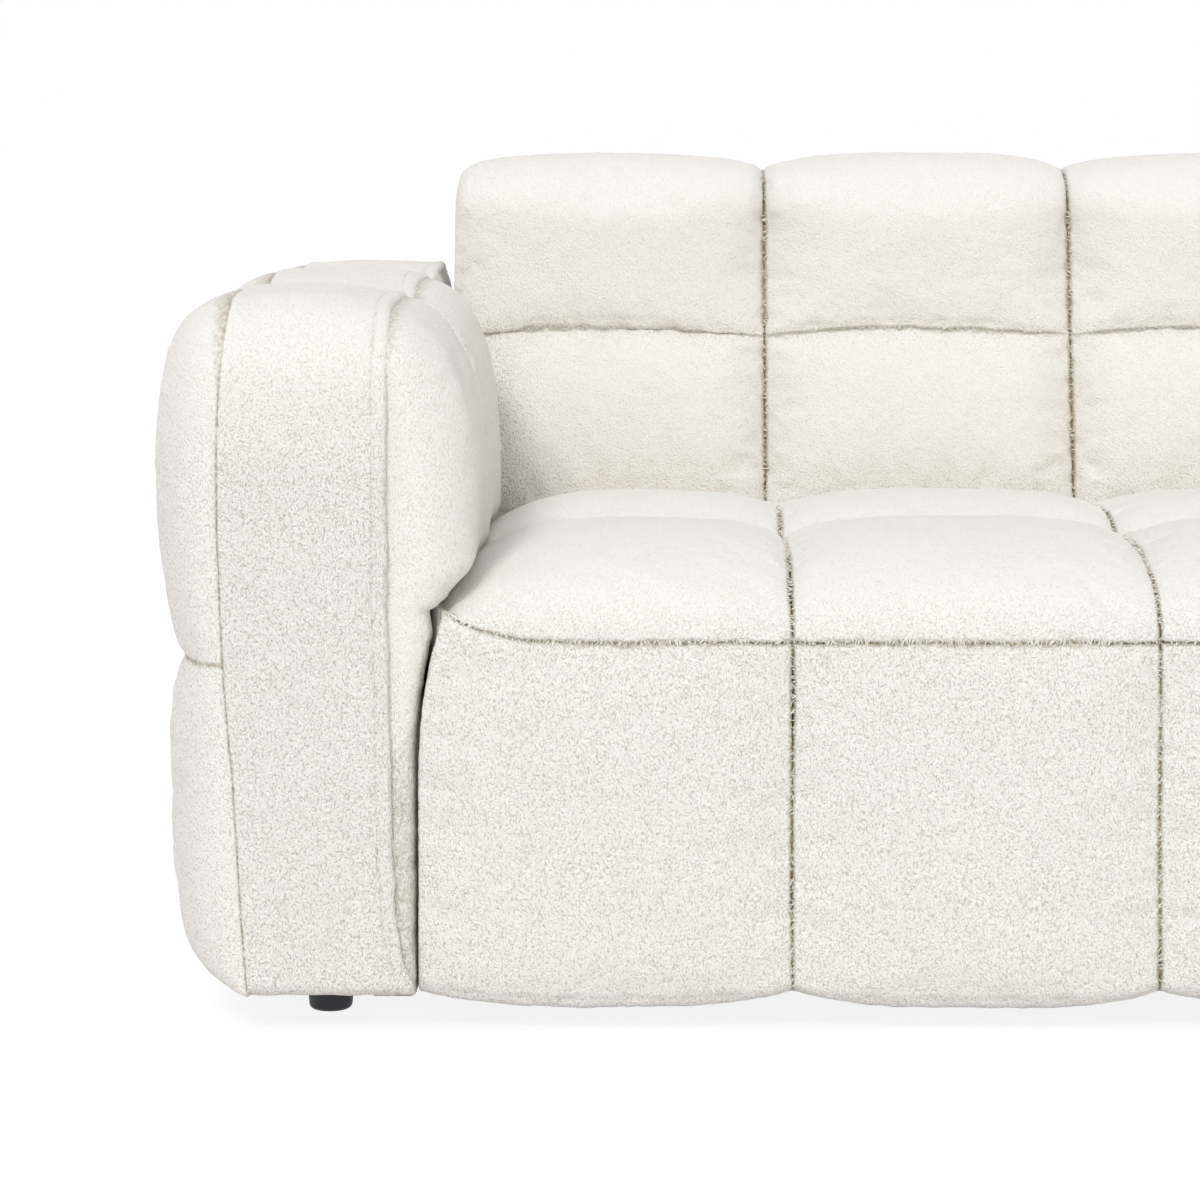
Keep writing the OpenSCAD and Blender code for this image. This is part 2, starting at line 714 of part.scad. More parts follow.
module arm_inner_pad(side) {
    color(foam_colour) on_side(side) difference() {
        arm_box([pad_in - arm_pad, inner_pad_front_d, pad_low_z], [pad_in, inner_pad_rear_d, pad_high_z]);
        side_windows(spacer_length + overrun);
    }
}
module arm_outer_pad(side) {
    color(foam_colour) on_side(side)
        arm_box([pad_out, outer_pad_inset, pad_low_z],
                [pad_out + arm_pad, sofa_depth - outer_pad_inset, pad_high_z]);
}
module arm_top_pad(side) {
    color(foam_colour) on_side(side)
        arm_box([arm_in, top_pad_inset, top_pad_z], [arm_out, sofa_depth - top_pad_inset, top_pad_top]);
}
module arm_posts(side) {
    low = frame_z + arm_board_t;
    color(ply_colour) on_side(side) {
        arm_box([arm_in, arm_front_d, low], [arm_out, arm_front_d + board, arm_board_z]);
        arm_box([arm_in, arm_rear_d - board, low], [arm_out, arm_rear_d, arm_board_z]);
    }
}
batten_w = 80;
module arm_battens(side) {
    color(timber_colour) on_side(side) difference() {
        for (d = side_bolt_ds)
            arm_box([arm_in, d - batten_w / 2, frame_z + arm_board_t],
                    [arm_in + board, d + batten_w / 2, arm_board_z]);
        for (d = side_bolt_ds) translate([half_seat, front_y + d, bolt_z])
            rotate([0, 90, 0])
                cylinder(d = tee_barrel_d + 2 * fit, h = arm_in + board + overrun, $fn = 32);
    }
}
module arm_top_board(side) {
    color(ply_colour) on_side(side)
        arm_box([arm_in, arm_front_d, arm_board_z], [arm_out, arm_rear_d, arm_board_z + arm_board_t]);
}
module arm_bottom_board(side) {
    color(ply_colour) difference() {
        on_side(side)
            arm_box([arm_in, arm_front_d, frame_z], [arm_out, arm_rear_d, frame_z + arm_board_t]);
        at_arm_feet() tee_nut_hole(frame_z + arm_board_t);
    }
}
module arm_inner_panel(side) {
    color(ply_colour) on_side(side) difference() {
        arm_box([arm_in - panel, arm_front_d, frame_z], [arm_in, arm_rear_d, pad_high_z]);
        side_windows(spacer_length + 2 * overrun);
    }
}
module arm_outer_panel(side) {
    color(ply_colour) on_side(side)
        arm_box([arm_out, arm_front_d, frame_z], [arm_out + panel, arm_rear_d, pad_high_z]);
}
module arm_dust_cover(side) {
    color(black_colour) difference() {
        on_side(side)
            arm_box([arm_in - panel, arm_front_d, dust_z],
                    [arm_out + panel, arm_rear_d, dust_z + dust_t]);
        at_arm_feet() tee_nut_hole(frame_z);
    }
}

// Joining hardware
module joining_spacers() {
    color(timber_colour) at_joints() difference() {
        translate([-spacer_w / 2, -spacer_w / 2, 0]) cube([spacer_w, spacer_w, spacer_length]);
        translate([0, 0, -overrun]) cylinder(d = bore_d, h = spacer_length + 2 * overrun, $fn = 32);
    }
}
module joining_bolts() {
    shank = board + washer_t + spacer_length + board + tee_flange_t + bolt_tail;
    color(steel_colour) at_joints() translate([0, 0, -board - washer_t]) union() {
        translate([0, 0, -head_t]) cylinder(d = head_flats / cos(30), h = head_t, $fn = 6);
        translate([0, 0, -fit]) cylinder(d = bolt_d, h = shank + fit, $fn = 32);
    }
}
module joining_washers() {
    color(steel_colour) at_joints() translate([0, 0, -board - washer_t]) difference() {
        cylinder(d = washer_d, h = washer_t, $fn = 48);
        translate([0, 0, -overrun]) cylinder(d = bolt_d + 2 * fit, h = washer_t + 2 * overrun, $fn = 32);
    }
}
// Flanged nut driven into a board from its far side; +Z points out of the board
module tee_nut() {
    difference() {
        union() {
            cylinder(d = tee_flange_d, h = tee_flange_t, $fn = 48);
            translate([0, 0, -tee_barrel_h])
                cylinder(d = tee_barrel_d, h = tee_barrel_h + tee_flange_t, $fn = 32);
        }
        translate([0, 0, -tee_barrel_h - overrun])
            cylinder(d = bolt_d + fit, h = tee_barrel_h + tee_flange_t + 2 * overrun, $fn = 32);
    }
}
module joining_tee_nuts() {
    color(steel_colour) at_joints() translate([0, 0, spacer_length + board]) tee_nut();
}

// Moulded foot with a rounded lower edge and a pocket for the head of its stud
foot_edge = 5;
pocket_d = 18;
foot_floor = 12;
foot_top_z = dust_z - fit;
module foot() {
    difference() {
        rotate_extrude($fn = 96) union() {
            polygon([[0, 0], [foot_base_d / 2 - foot_edge, 0], [foot_base_d / 2, foot_edge],
                     [foot_d / 2, foot_top_z], [0, foot_top_z]]);
            translate([foot_base_d / 2 - foot_edge, foot_edge]) intersection() {
                circle(r = foot_edge, $fn = 48);
                translate([0, -foot_edge]) square([foot_edge, foot_edge]);
            }
        }
        translate([0, 0, -overrun]) cylinder(d = pocket_d, h = overrun + foot_floor, $fn = 48);
        translate([0, 0, -overrun]) cylinder(d = bore_d, h = foot_top_z + 2 * overrun, $fn = 32);
    }
}
module feet() {
    color(black_colour) {
        at_arm_feet() foot();
        at_centre_feet() foot();
    }
}
module foot_stud(top_z) {
    translate([0, 0, foot_floor]) union() {
        translate([0, 0, -head_t]) cylinder(d = head_flats / cos(30), h = head_t, $fn = 6);
        translate([0, 0, -fit]) cylinder(d = bolt_d, h = top_z - foot_floor + fit, $fn = 32);
    }
}
module foot_studs() {
    color(steel_colour) {
        at_arm_feet() foot_stud(frame_z + arm_board_t + tee_flange_t);
        at_centre_feet() foot_stud(stretcher_low_z - bolt_tail);
    }
}
module foot_tee_nuts() {
    color(steel_colour) {
        at_arm_feet() translate([0, 0, frame_z + arm_board_t]) tee_nut();
        at_centre_feet() translate([0, 0, stretcher_low_z - tee_flange_t - fit]) tee_nut();
    }
}

seat_cover();
seat_foam();
seat_felt();
seat_springs();
spring_clips();
spring_tie_wires();
seat_front_rail();
seat_rear_rail();
seat_side_rails();
seat_stretchers();
seat_corner_blocks();
centre_foot_blocks();
seat_dust_cover();
back_cover();
back_foam();
back_webbing();
back_uprights();
back_bottom_rail();
back_top_rail();
back_rear_rail();
back_rear_panel();
back_dust_cover();
arm_cover("left");  // arm_cover_left
arm_cover("right");  // arm_cover_right
arm_inner_pad("left");  // arm_inner_pad_left
arm_inner_pad("right");  // arm_inner_pad_right
arm_outer_pad("left");  // arm_outer_pad_left
arm_outer_pad("right");  // arm_outer_pad_right
arm_top_pad("left");  // arm_top_pad_left
arm_top_pad("right");  // arm_top_pad_right
arm_posts("left");  // arm_posts_left
arm_posts("right");  // arm_posts_right
arm_battens("left");  // arm_battens_left
arm_battens("right");  // arm_battens_right
arm_top_board("left");  // arm_top_board_left
arm_top_board("right");  // arm_top_board_right
arm_bottom_board("left");  // arm_bottom_board_left
arm_bottom_board("right");  // arm_bottom_board_right
arm_inner_panel("left");  // arm_inner_panel_left
arm_inner_panel("right");  // arm_inner_panel_right
arm_outer_panel("left");  // arm_outer_panel_left
arm_outer_panel("right");  // arm_outer_panel_right
arm_dust_cover("left");  // arm_dust_cover_left
arm_dust_cover("right");  // arm_dust_cover_right
joining_spacers();
joining_bolts();
joining_washers();
joining_tee_nuts();
feet();
foot_studs();
foot_tee_nuts();
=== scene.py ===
"""Low sofa in off-white boucle: tufted seat and leaning tufted back between two soft block arms.

Lengths in the form functions are millimetres, with d the depth behind the front panels and z the
height above the floor. Meshes are made in metres.
"""

import json
import math
from collections import namedtuple

import bpy
import numpy as np
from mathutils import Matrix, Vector


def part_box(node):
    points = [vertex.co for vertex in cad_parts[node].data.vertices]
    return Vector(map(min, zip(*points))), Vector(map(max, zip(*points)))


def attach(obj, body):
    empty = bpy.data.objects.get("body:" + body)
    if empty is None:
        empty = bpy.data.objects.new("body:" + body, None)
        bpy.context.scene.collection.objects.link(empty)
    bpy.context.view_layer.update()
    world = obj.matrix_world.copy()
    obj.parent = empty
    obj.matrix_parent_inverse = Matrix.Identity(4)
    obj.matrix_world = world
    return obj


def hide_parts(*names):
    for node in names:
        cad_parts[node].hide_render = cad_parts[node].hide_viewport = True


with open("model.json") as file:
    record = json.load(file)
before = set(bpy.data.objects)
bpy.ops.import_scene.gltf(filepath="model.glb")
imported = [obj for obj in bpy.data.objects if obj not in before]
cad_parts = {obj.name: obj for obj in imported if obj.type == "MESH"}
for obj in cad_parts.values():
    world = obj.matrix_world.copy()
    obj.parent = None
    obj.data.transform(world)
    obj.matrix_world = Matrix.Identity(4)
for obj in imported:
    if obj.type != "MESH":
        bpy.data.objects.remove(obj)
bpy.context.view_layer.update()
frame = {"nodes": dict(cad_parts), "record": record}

# ---------------------------------------------------------------- sizes shared with the CAD source
FRONT = -450.0  # y of the front panels
DEPTH = 900.0  # from the front panels to the rear of the back
COLUMNS = 6
PITCH = 298.0  # width of a tufted column
EASE = 5.0  # extra width of the seat at each end
HALF = COLUMNS * PITCH / 2 + EASE
BASE = 30.0  # height of the covers' undersides
FRAME_HALF = HALF - 32  # the covers are hollow over the frame between these

SEAT_D = 655.0
SEAM_Z = 315.0  # sewn seam over the front panels
CROWN_Z = 395.0
ROLL_D = 200.0  # depth of the crown
CROSS_D = 325.0  # depth of the seam between the two rows of tufts
FRAME_TOP = 252.0  # top of the seat's frame
FOAM_TOP = 332.3
CORNER_IN = 21.0  # how far the seat's outer front corners are drawn in

BACK_REACH = 9.0  # how far the back goes past the seat at each end
FOOT_Z = 360.0  # foot of the leaning face
ROW_Z = 531.0  # seam between the two rows of tufts
ROLL_Z = 642.0  # start of the rolled top
TOP_Z = 706.0
LEAN = math.tan(math.radians(12.2))
BACK_FRAME_D = 696.7
REAR_BOARD_D = 872.3
TOP_RAIL_Z = 664.3

ARM_TOP = 602.0
ARM_ROLL = 75.0  # radius of the top's front and rear edges
SECTION = 300.0  # depth of each of the arm's three sections
WELT = 30.0  # how far out of the seat's side the inner panel starts
ARM_REACH = 44.0  # how far that panel leans over the seat
ARM_SWELL = 60.0  # swell of the outer panel
CREASE_Z = 298.0
BOARD_IN, BOARD_OUT = 35.7, 154.6  # the arm's boards
PAD_IN, PAD_OUT = 5.4, 184.6  # faces of its foam pads
PAD_LOW, PAD_HIGH = 75.0, 527.5

AWAY = 99.0  # stands for a distance beyond a seam's reach


# ---------------------------------------------------------------- small helpers
def quarter(t):
    """Quarter round: nothing at 0, full at 1."""
    return np.sqrt(np.clip(1 - (1 - np.clip(t, 0, 1)) ** 2, 0, 1))


def swell(t, power):
    """Rounded swell across a tuft: nothing at its seams, full at its middle."""
    return 1 - np.abs(2 * t - 1) ** power


def turn_in(dist, radius):
    """How far the cloth has turned into a seam: 1 at the seam, 0 from radius away."""
    return 1 - quarter(np.asarray(dist) / radius)


def mix(a, b, t):
    return a + (b - a) * t


def smooth(t):
    t = np.clip(t, 0, 1)
    return t * t * (3 - 2 * t)


def noise(p, size, seed=0):
    """Smooth value noise from -1 to 1 on points (..., 3) in mm, with features about size apart."""
    q = np.asarray(p, float) / size
    cell = np.floor(q).astype(np.int64)
    f = q - cell
    f = f * f * f * (f * (f * 6 - 15) + 10)
    total = 0.0
    for corner in range(8):
        step = np.array([corner & 1, corner >> 1 & 1, corner >> 2 & 1])
        k = cell + step
        h = k[..., 0] * 73856093 ^ k[..., 1] * 19349663 ^ k[..., 2] * 83492791 ^ (seed * 7919 + 17)
        h = (h ^ (h >> 13)) * 1274126177 & 0xFFFFFFFF
        h = (h ^ (h >> 16)) & 0xFFFF
        w = np.prod(np.where(step == 1, f, 1 - f), axis=-1)
        total = total + w * (h / 32767.5 - 1)
    return total


def spread(width, start, end, step=4.0):
    """Places from 0 to width, about step apart and closer within start and end of the two ends."""
    theta = np.linspace(0, np.pi / 2, 8)
    first = start * (1 - np.cos(theta)) if start else np.array([0.0])
    last = width - end * (1 - np.cos(theta[::-1])) if end else np.array([width])
    count = max(2, int(round((width - start - end) / step)) + 1)
    return np.concatenate([first, np.linspace(start, width - end, count)[1:-1], last])


def normals(p):
    """Unit normals of a grid of points (n, m, 3)."""
    n = np.cross(np.gradient(p, axis=0), np.gradient(p, axis=1))
    return n / np.maximum(np.linalg.norm(n, axis=-1, keepdims=True), 1e-9)


# ---------------------------------------------------------------- materials
def srgb(r, g, b):
    def line(c):
        c /= 255
        return c / 12.92 if c <= 0.04045 else ((c + 0.055) / 1.055) ** 2.4

    return (line(r), line(g), line(b), 1.0)


LIGHT_YARN = srgb(251, 246, 238)
PALE_YARN = srgb(253, 249, 243)
# painted shade in the gaps between the yarn loops
GAP_SHADE_YARN = srgb(204, 195, 182)
# dark seam tone, partly the seams' own darker joints and partly painted shade in their grooves and in
# crevices beside the arms
SEAM_SHADE_YARN = srgb(168, 154, 128)
# painted shade for the flatter surfaces with shallow loops, such as tops, evening their brightness with the
# bump-darkened fronts
FLAT_SHADE_YARN = srgb(229, 225, 219)


class Nodes:
    """Short way to write a node material."""

    def __init__(self, name):
        self.material = bpy.data.materials.new(name)
        self.material.use_nodes = True
        self.tree = self.material.node_tree
        self.shader = self.tree.nodes["Principled BSDF"]
        self.place = self.tree.nodes.new("ShaderNodeTexCoord").outputs["Object"]

    def add(self, kind, values=(), **settings):
        node = self.tree.nodes.new(kind)
        for key, value in settings.items():
            setattr(node, key, value)
        for key, value in dict(values).items():
            if isinstance(value, bpy.types.NodeSocket):
                self.tree.links.new(value, node.inputs[key])
            else:
                node.inputs[key].default_value = value
        return node

    def math(self, operation, a, b=0.0, c=0.0):
        return self.add("ShaderNodeMath", {0: a, 1: b, 2: c}, operation=operation).outputs[0]

    def ramp(self, value, stops):
        node = self.add("ShaderNodeValToRGB", {"Fac": value})
        while len(node.color_ramp.elements) < len(stops):
            node.color_ramp.elements.new(0.5)
        for element, (at, colour) in zip(node.color_ramp.elements, stops):
            element.position = at
            element.color = colour if len(colour) == 4 else (*colour, 1.0)
        return node.outputs["Color"]

    def noise(self, scale, detail=2.0, vector=None, distortion=0.0, rough=0.5):
        values = {"Vector": vector or self.place, "Scale": scale, "Detail": detail}
        return self.add("ShaderNodeTexNoise", {**values, "Distortion": distortion, "Roughness": rough})

    def blend(self, fac, a, b):
        return self.add("ShaderNodeMix", {0: fac, 6: a, 7: b}, data_type="RGBA").outputs[2]

    def link(self, output, name):
        self.tree.links.new(output, self.shader.inputs[name])

    def bump(self, height, strength, distance, under=None):
        values = {"Height": height, "Strength": strength, "Distance": distance}
        if under is not None:
            values["Normal"] = under
        return self.add("ShaderNodeBump", values).outputs[0]


def boucle(name):
    """Looped off-white yarn: curled nubs about 4 mm across with painted shade in the thin gaps between them.
    """
    m = Nodes(name)

    def vector(operation, a, b):
        return m.add("ShaderNodeVectorMath", {0: a, 1: b}, operation=operation).outputs[0]

    warp = vector("SUBTRACT", m.noise(280.0, 2.0).outputs["Color"], (0.5, 0.5, 0.5))
    place = vector("ADD", m.place, vector("MULTIPLY", warp, (0.0026, 0.0026, 0.0026)))
    place = vector("MULTIPLY", place, (1.2, 1.2, 0.78))
    nubs = m.add(
        "ShaderNodeTexVoronoi",
        {"Vector": place, "Scale": 600.0, "Randomness": 1.0, "Smoothness": 0.35},
        feature="SMOOTH_F1",
    ).outputs["Distance"]
    dome = m.math("SUBTRACT", 1.0, m.math("MULTIPLY", nubs, nubs))
    curl = m.noise(1150.0, 2.0, vector=place, distortion=1.0, rough=0.6).outputs["Fac"]
    height = m.math("ADD", m.math("MULTIPLY", dome, 0.75), m.math("MULTIPLY", curl, 0.5))
    # low marks the gaps between the loops, which get painted shade, more of it where the relief is deeper
    low = m.ramp(height, [(0.60, (1, 1, 1)), (0.75, (0, 0, 0))])
    patch = m.noise(7.0, 3.0).outputs["Fac"]
    relief = m.add("ShaderNodeAttribute", attribute_name="relief").outputs["Fac"]
    # where the relief is shallow, as on tops, the colour is painted darker towards the flat shade yarn
    raised = m.math("MULTIPLY_ADD", relief, 2.5, -1.15)
    light = m.blend(raised, FLAT_SHADE_YARN, m.blend(patch, LIGHT_YARN, PALE_YARN))
    colour = m.blend(m.math("MULTIPLY", low, m.math("MULTIPLY", relief, 0.60)), light, GAP_SHADE_YARN)
    # the seam attribute darkens the seams, partly with their own darker joints and partly with painted shade,
    # and paints shade into crevices beside the arms
    seam = m.add("ShaderNodeAttribute", attribute_name="seam").outputs["Fac"]
    seam_shade = m.math("MULTIPLY", seam, m.math("MULTIPLY_ADD", m.noise(270.0, 2.0).outputs["Fac"], 1.7, -0.1))
    seam_shade = m.ramp(seam_shade, [(0.12, (0, 0, 0)), (0.62, (1, 1, 1))])
    m.link(m.blend(seam_shade, colour, SEAM_SHADE_YARN), "Base Color")
    m.shader.inputs["Roughness"].default_value = 0.95
    m.shader.inputs["Specular IOR Level"].default_value = 0.12
    m.shader.inputs["Sheen Weight"].default_value = 0.08
    m.shader.inputs["Sheen Roughness"].default_value = 0.5
    soft = m.bump(m.noise(85.0, 2.0).outputs["Fac"], 0.25, 0.005)
    m.link(m.bump(height, relief, 0.0035, soft), "Normal")
    return m.material


def plain(name, colour, rough, scale=300.0, depth=0.0004, spots=0.06, metal=0.0):
    """A quiet material with a little variation in colour and surface."""
    m = Nodes(name)
    value = m.noise(scale, 3.0).outputs["Fac"]
    darker = tuple(c * (1 - spots) for c in colour[:3]) + (1.0,)
    m.link(m.blend(value, darker, colour), "Base Color")
    m.shader.inputs["Roughness"].default_value = rough
    m.shader.inputs["Metallic"].default_value = metal
    m.link(m.bump(value, 0.4, depth), "Normal")
    return m.material


def timber(name, colour, across):
    """Planed wood with grain along the board."""
    m = Nodes(name)
    stretch = m.add("ShaderNodeMapping", {"Vector": m.place, "Scale": across})
    grain = m.noise(60.0, 5.0, vector=stretch.outputs[0], distortion=1.2).outputs["Fac"]
    darker = tuple(c * 0.72 for c in colour[:3]) + (1.0,)
    m.link(m.ramp(grain, [(0.35, darker), (0.65, colour)]), "Base Color")
    m.shader.inputs["Roughness"].default_value = 0.7
    m.link(m.bump(grain, 0.3, 0.0005), "Normal")
    return m.material


fabric = boucle("boucle")
fibre = plain("loose_fibre", srgb(236, 231, 222), 0.95, scale=500.0, spots=0.05)
by_slot = {
    "foam": plain("foam", srgb(246, 236, 205), 0.95, scale=700.0, depth=0.0010, spots=0.12),
    "felt": plain("felt", srgb(150, 150, 154), 0.98, scale=900.0, depth=0.0008, spots=0.35),
    "webbing": plain("webbing", srgb(48, 48, 54), 0.9, scale=600.0, depth=0.0006, spots=0.3),
    "dust_cloth": plain("dust_cloth", srgb(44, 44, 48), 0.95, scale=1400.0, depth=0.0004, spots=0.3),
    "timber": timber("timber", srgb(222, 190, 140), (0.12, 1.0, 1.0)),
    "plywood": timber("plywood", srgb(198, 164, 118), (1.0, 0.15, 1.0)),
    "hardboard": plain("hardboard", srgb(150, 112, 78), 0.75, scale=800.0, spots=0.2),
    "zinc_steel": plain("zinc_steel", srgb(196, 198, 202), 0.35, scale=400.0, spots=0.12, metal=1.0),
    "foot_plastic": plain("foot_black", srgb(46, 46, 54), 0.55, scale=900.0, depth=0.0002, spots=0.2),
    "boucle_fabric": fabric,
}
for part in frame["record"]["subparts"]:
    node = frame["nodes"].get(part["node"])
    if node is not None:
        node.data.materials.clear()
        node.data.materials.append(by_slot[part["material_slot"]])


# ---------------------------------------------------------------- mesh making
def piece(name, points, faces, material, uv=None, marks=None, relief=None):
    """A mesh object from points in mm and a list of faces. marks says how near a seam or a crevice painted
    with shade each point is, where the colour gets the seams' darker tone and painted shade, and relief how
    deep its yarn loops are, which also sets how much shade is painted into the loops' gaps and how dark
    flatter surfaces are painted."""
    mesh = bpy.data.meshes.new(name)
    points = np.asarray(points, np.float32).reshape(-1, 3) * 0.001
    sizes = np.array([len(f) for f in faces], np.int32)
    loops = np.concatenate([np.asarray(f, np.int32) for f in faces])
    mesh.vertices.add(len(points))
    mesh.vertices.foreach_set("co", points.ravel())
    mesh.loops.add(len(loops))
    mesh.loops.foreach_set("vertex_index", loops)
    mesh.polygons.add(len(sizes))
    mesh.polygons.foreach_set("loop_start", np.concatenate([[0], np.cumsum(sizes)[:-1]]).astype(np.int32))
    mesh.polygons.foreach_set("loop_total", sizes)
    mesh.polygons.foreach_set("use_smooth", sizes == 4)
    if uv is not None:
        layer = mesh.uv_layers.new(name="OFBake")
        layer.data.foreach_set("uv", np.asarray(uv, np.float32)[loops].ravel())
    for key, values in (("seam", marks), ("relief", relief)):
        if values is not None:
            layer = mesh.attributes.new(key, "FLOAT", "POINT")
            layer.data.foreach_set("value", np.asarray(values, np.float32).ravel())
    mesh.materials.append(material)
    mesh.update(calc_edges=True)
    mesh.validate()
    made = bpy.data.objects.new(name, mesh)
    bpy.context.scene.collection.objects.link(made)
    return made


def grid_faces(n, m, closed=False):
    """Quads of an n by m grid of points; closed joins the last column to the first."""
    i, j = np.meshgrid(np.arange(n - 1), np.arange(m if closed else m - 1), indexing="ij")
    k = (j + 1) % m
    return np.stack([i * m + j, i * m + k, (i + 1) * m + k, (i + 1) * m + j], -1).reshape(-1, 4)


def tube(name, rings, material, marks, relief=0.7):
    """Closed form through rings (n, m, 3), with a flat cap at each end. marks (n, shown) says how near a seam
    or a crevice painted with shade the points on the outside are, which come first in a ring and get most of
    the map."""
    n, m = rings.shape[:2]
    shown = marks.shape[1]
    quads = grid_faces(n, m, closed=True)
    flat = rings.reshape(-1, 3) - rings.reshape(-1, 3).mean(0)
    a, b, c, d = (flat[quads[:, k]] for k in range(4))
    volume = np.sum(np.cross(a, b) * c) + np.sum(np.cross(a, c) * d)
    caps = [np.arange(m)[::-1], np.arange(m) + (n - 1) * m]
    if volume < 0:
        quads = quads[:, ::-1]
        caps = [cap[::-1] for cap in caps]
    across = np.linspace(0.01, 0.99, n)
    along = np.linspace(0.01, 0.93, shown)
    if m > shown:
        along = np.concatenate([along, np.linspace(0.935, 0.99, m - shown)])
    uv = np.stack(np.meshgrid(along, across), -1).reshape(-1, 2)
    full, depth = np.zeros((n, m)), np.full((n, m), 0.7)
    full[:, :shown] = marks
    depth[:, :shown] = relief
    return piece(name, rings, list(quads) + caps, material, uv, full, depth)


def dress(o, node):
    """Attaches a padded cover piece, which stands for a node, to the root body and hides that node."""
    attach(o, "root")
    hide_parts(node)


def soften(p, sign, strength=1.0, keep=None, seed=0):
    """Moves a grid of points by the small unevenness of stuffed cloth, along its normals."""
    n = normals(p) * sign
    move = 1.5 * noise(p, 120, seed + 1) + 0.8 * noise(p, 48, seed + 2) + 0.35 * noise(p, 17, seed + 3)
    move = move * strength
    if keep is not None:
        move = move * keep
    return p + n * (move + 0.4 * noise(p, 6.5, seed + 4))[..., None]


def pucker(along, dist, seed, size=9.0, reach=16.0):
    """Small gathers that run away from a seam, as a height in mm."""
    q = np.stack(np.broadcast_arrays(along, dist * 0.25, np.zeros_like(dist)), -1)
    fade = np.exp(-dist / reach) * smooth(dist / 2.5)
    return (noise(q, size, seed) + 0.5 * noise(q, size * 2.3, seed + 5)) * fade


# ---------------------------------------------------------------- stuffing by cloth simulation
# A sewn panel: its grid of points in mm, the points of each ring that the sofa hides, its marks and relief
# as in piece(), which points are sewn down besides its border, and the sign that turns its normals inwards.
Panel = namedtuple("Panel", "points hidden marks relief held sign")

CLOTH_FRAMES = 20


def coarse_places(points, step):
    """Indices of points along a line that lie about a step apart, with both ends."""
    length = np.concatenate([[0], np.cumsum(np.linalg.norm(np.diff(points, axis=0), axis=-1))])
    count = max(4, int(length[-1] / step))
    return np.unique(np.searchsorted(length, np.linspace(0, length[-1], count + 1)).clip(0, len(points) - 1))


def fine_moves(moves, i, j, shape):
    """Moves known at rows i and columns j of a grid, read at all of its points."""
    rows = [[np.interp(np.arange(shape[1]), j, row[:, k]) for row in moves] for k in range(3)]
    rows = np.array(rows)
    full = [[np.interp(np.arange(shape[0]), i, rows[k, :, b]) for b in range(shape[1])] for k in range(3)]
    return np.array(full).transpose(2, 1, 0)


def run_cloth(points, faces, sewn, pressure):
    """Points in mm after the pressure has settled, with gravity off and the sewn ones held."""
    cloth = piece("settling_cloth", points, faces, fabric)
    cloth.vertex_groups.new(name="sewn").add(np.flatnonzero(sewn).tolist(), 1.0, "REPLACE")
    modifier = cloth.modifiers.new("settle", "CLOTH")
    rules = modifier.settings
    rules.quality = 4
    rules.mass = 0.3
    rules.tension_stiffness, rules.compression_stiffness, rules.shear_stiffness = 15.0, 15.0, 6.0
    rules.bending_stiffness = 0.6
    rules.air_damping = 8.0
    rules.use_pressure = True
    rules.uniform_pressure_force = pressure
    rules.vertex_group_mass = "sewn"
    rules.shrink_min = -0.012
    rules.effector_weights.gravity = 0.0
    modifier.collision_settings.use_collision = False
    modifier.point_cache.frame_start, modifier.point_cache.frame_end = 1, CLOTH_FRAMES
    for frame_number in range(1, CLOTH_FRAMES + 1):
        bpy.context.scene.frame_set(frame_number)
    settled = cloth.evaluated_get(bpy.context.evaluated_depsgraph_get()).to_mesh()
    after = np.empty(len(settled.vertices) * 3, np.float32)
    settled.vertices.foreach_get("co", after)
    after = after.reshape(-1, 3).astype(float) * 1000
    bpy.context.scene.frame_set(1)
    mesh = cloth.data
    bpy.data.objects.remove(cloth)
    bpy.data.meshes.remove(mesh)
    return after


def settle(grids, held, signs, step, cap=7.0, pressure=3.0):
    """How far each point of each grid moves when the panels are stuffed, at most cap mm. The simulation has
    a point about every step mm."""
    points, faces, sewn, places = [], [], [], []
    for p, fixed, sign in zip(grids, held, signs):
        i = coarse_places(p[:, p.shape[1] // 2], step)
        j = coarse_places(p[p.shape[0] // 2], step)
        j = np.unique(np.concatenate([j, np.flatnonzero(fixed.all(0))]))
        quads = grid_faces(len(i), len(j)) + sum(len(k) for k in points)
        faces.extend(quads if sign > 0 else quads[:, ::-1])
        points.append(p[np.ix_(i, j)].reshape(-1, 3))
        sewn.append(fixed[np.ix_(i, j)].ravel())
        places.append((i, j))
    points = np.concatenate(points)
    move = run_cloth(points, faces, np.concatenate(sewn), pressure) - points
    size = np.linalg.norm(move, axis=-1, keepdims=True)
    move *= cap * np.tanh(size / cap) / np.maximum(size, 1e-6)
    moves, start = [], 0
    for p, (i, j) in zip(grids, places):
        part = move[start : start + len(i) * len(j)].reshape(len(i), len(j), 3)
        start += len(i) * len(j)
        moves.append(fine_moves(part, i, j, p.shape[:2]))
    return moves


def loose_share(held, rounds=80):
    """0 at the held points of a grid, rising smoothly to 1 away from them."""
    share = (~held).astype(float)
    for _ in range(rounds):
        middle = share[1:-1, 1:-1]
        around = share[:-2, 1:-1] + share[2:, 1:-1] + share[1:-1, :-2] + share[1:-1, 2:]
        share[1:-1, 1:-1] = (around + 2 * middle) / 6
        share[held] = 0
    return share


def stuffed(panels, slack=5.0, step=9.0):
    """Settled grids of the panels. They start up to slack mm smaller, because the stuffing swells them."""
    start, held = [], []
    for panel in panels:
        fixed = panel.held.copy()
        fixed[[0, -1]] = True
        fixed[:, [0, -1]] = True
        p = panel.points
        start.append(p + normals(p) * panel.sign * (slack * loose_share(fixed))[..., None])
        held.append(fixed)
    moves = settle(start, held, [panel.sign for panel in panels], step)
    return [p + move for p, move in zip(start, moves)]


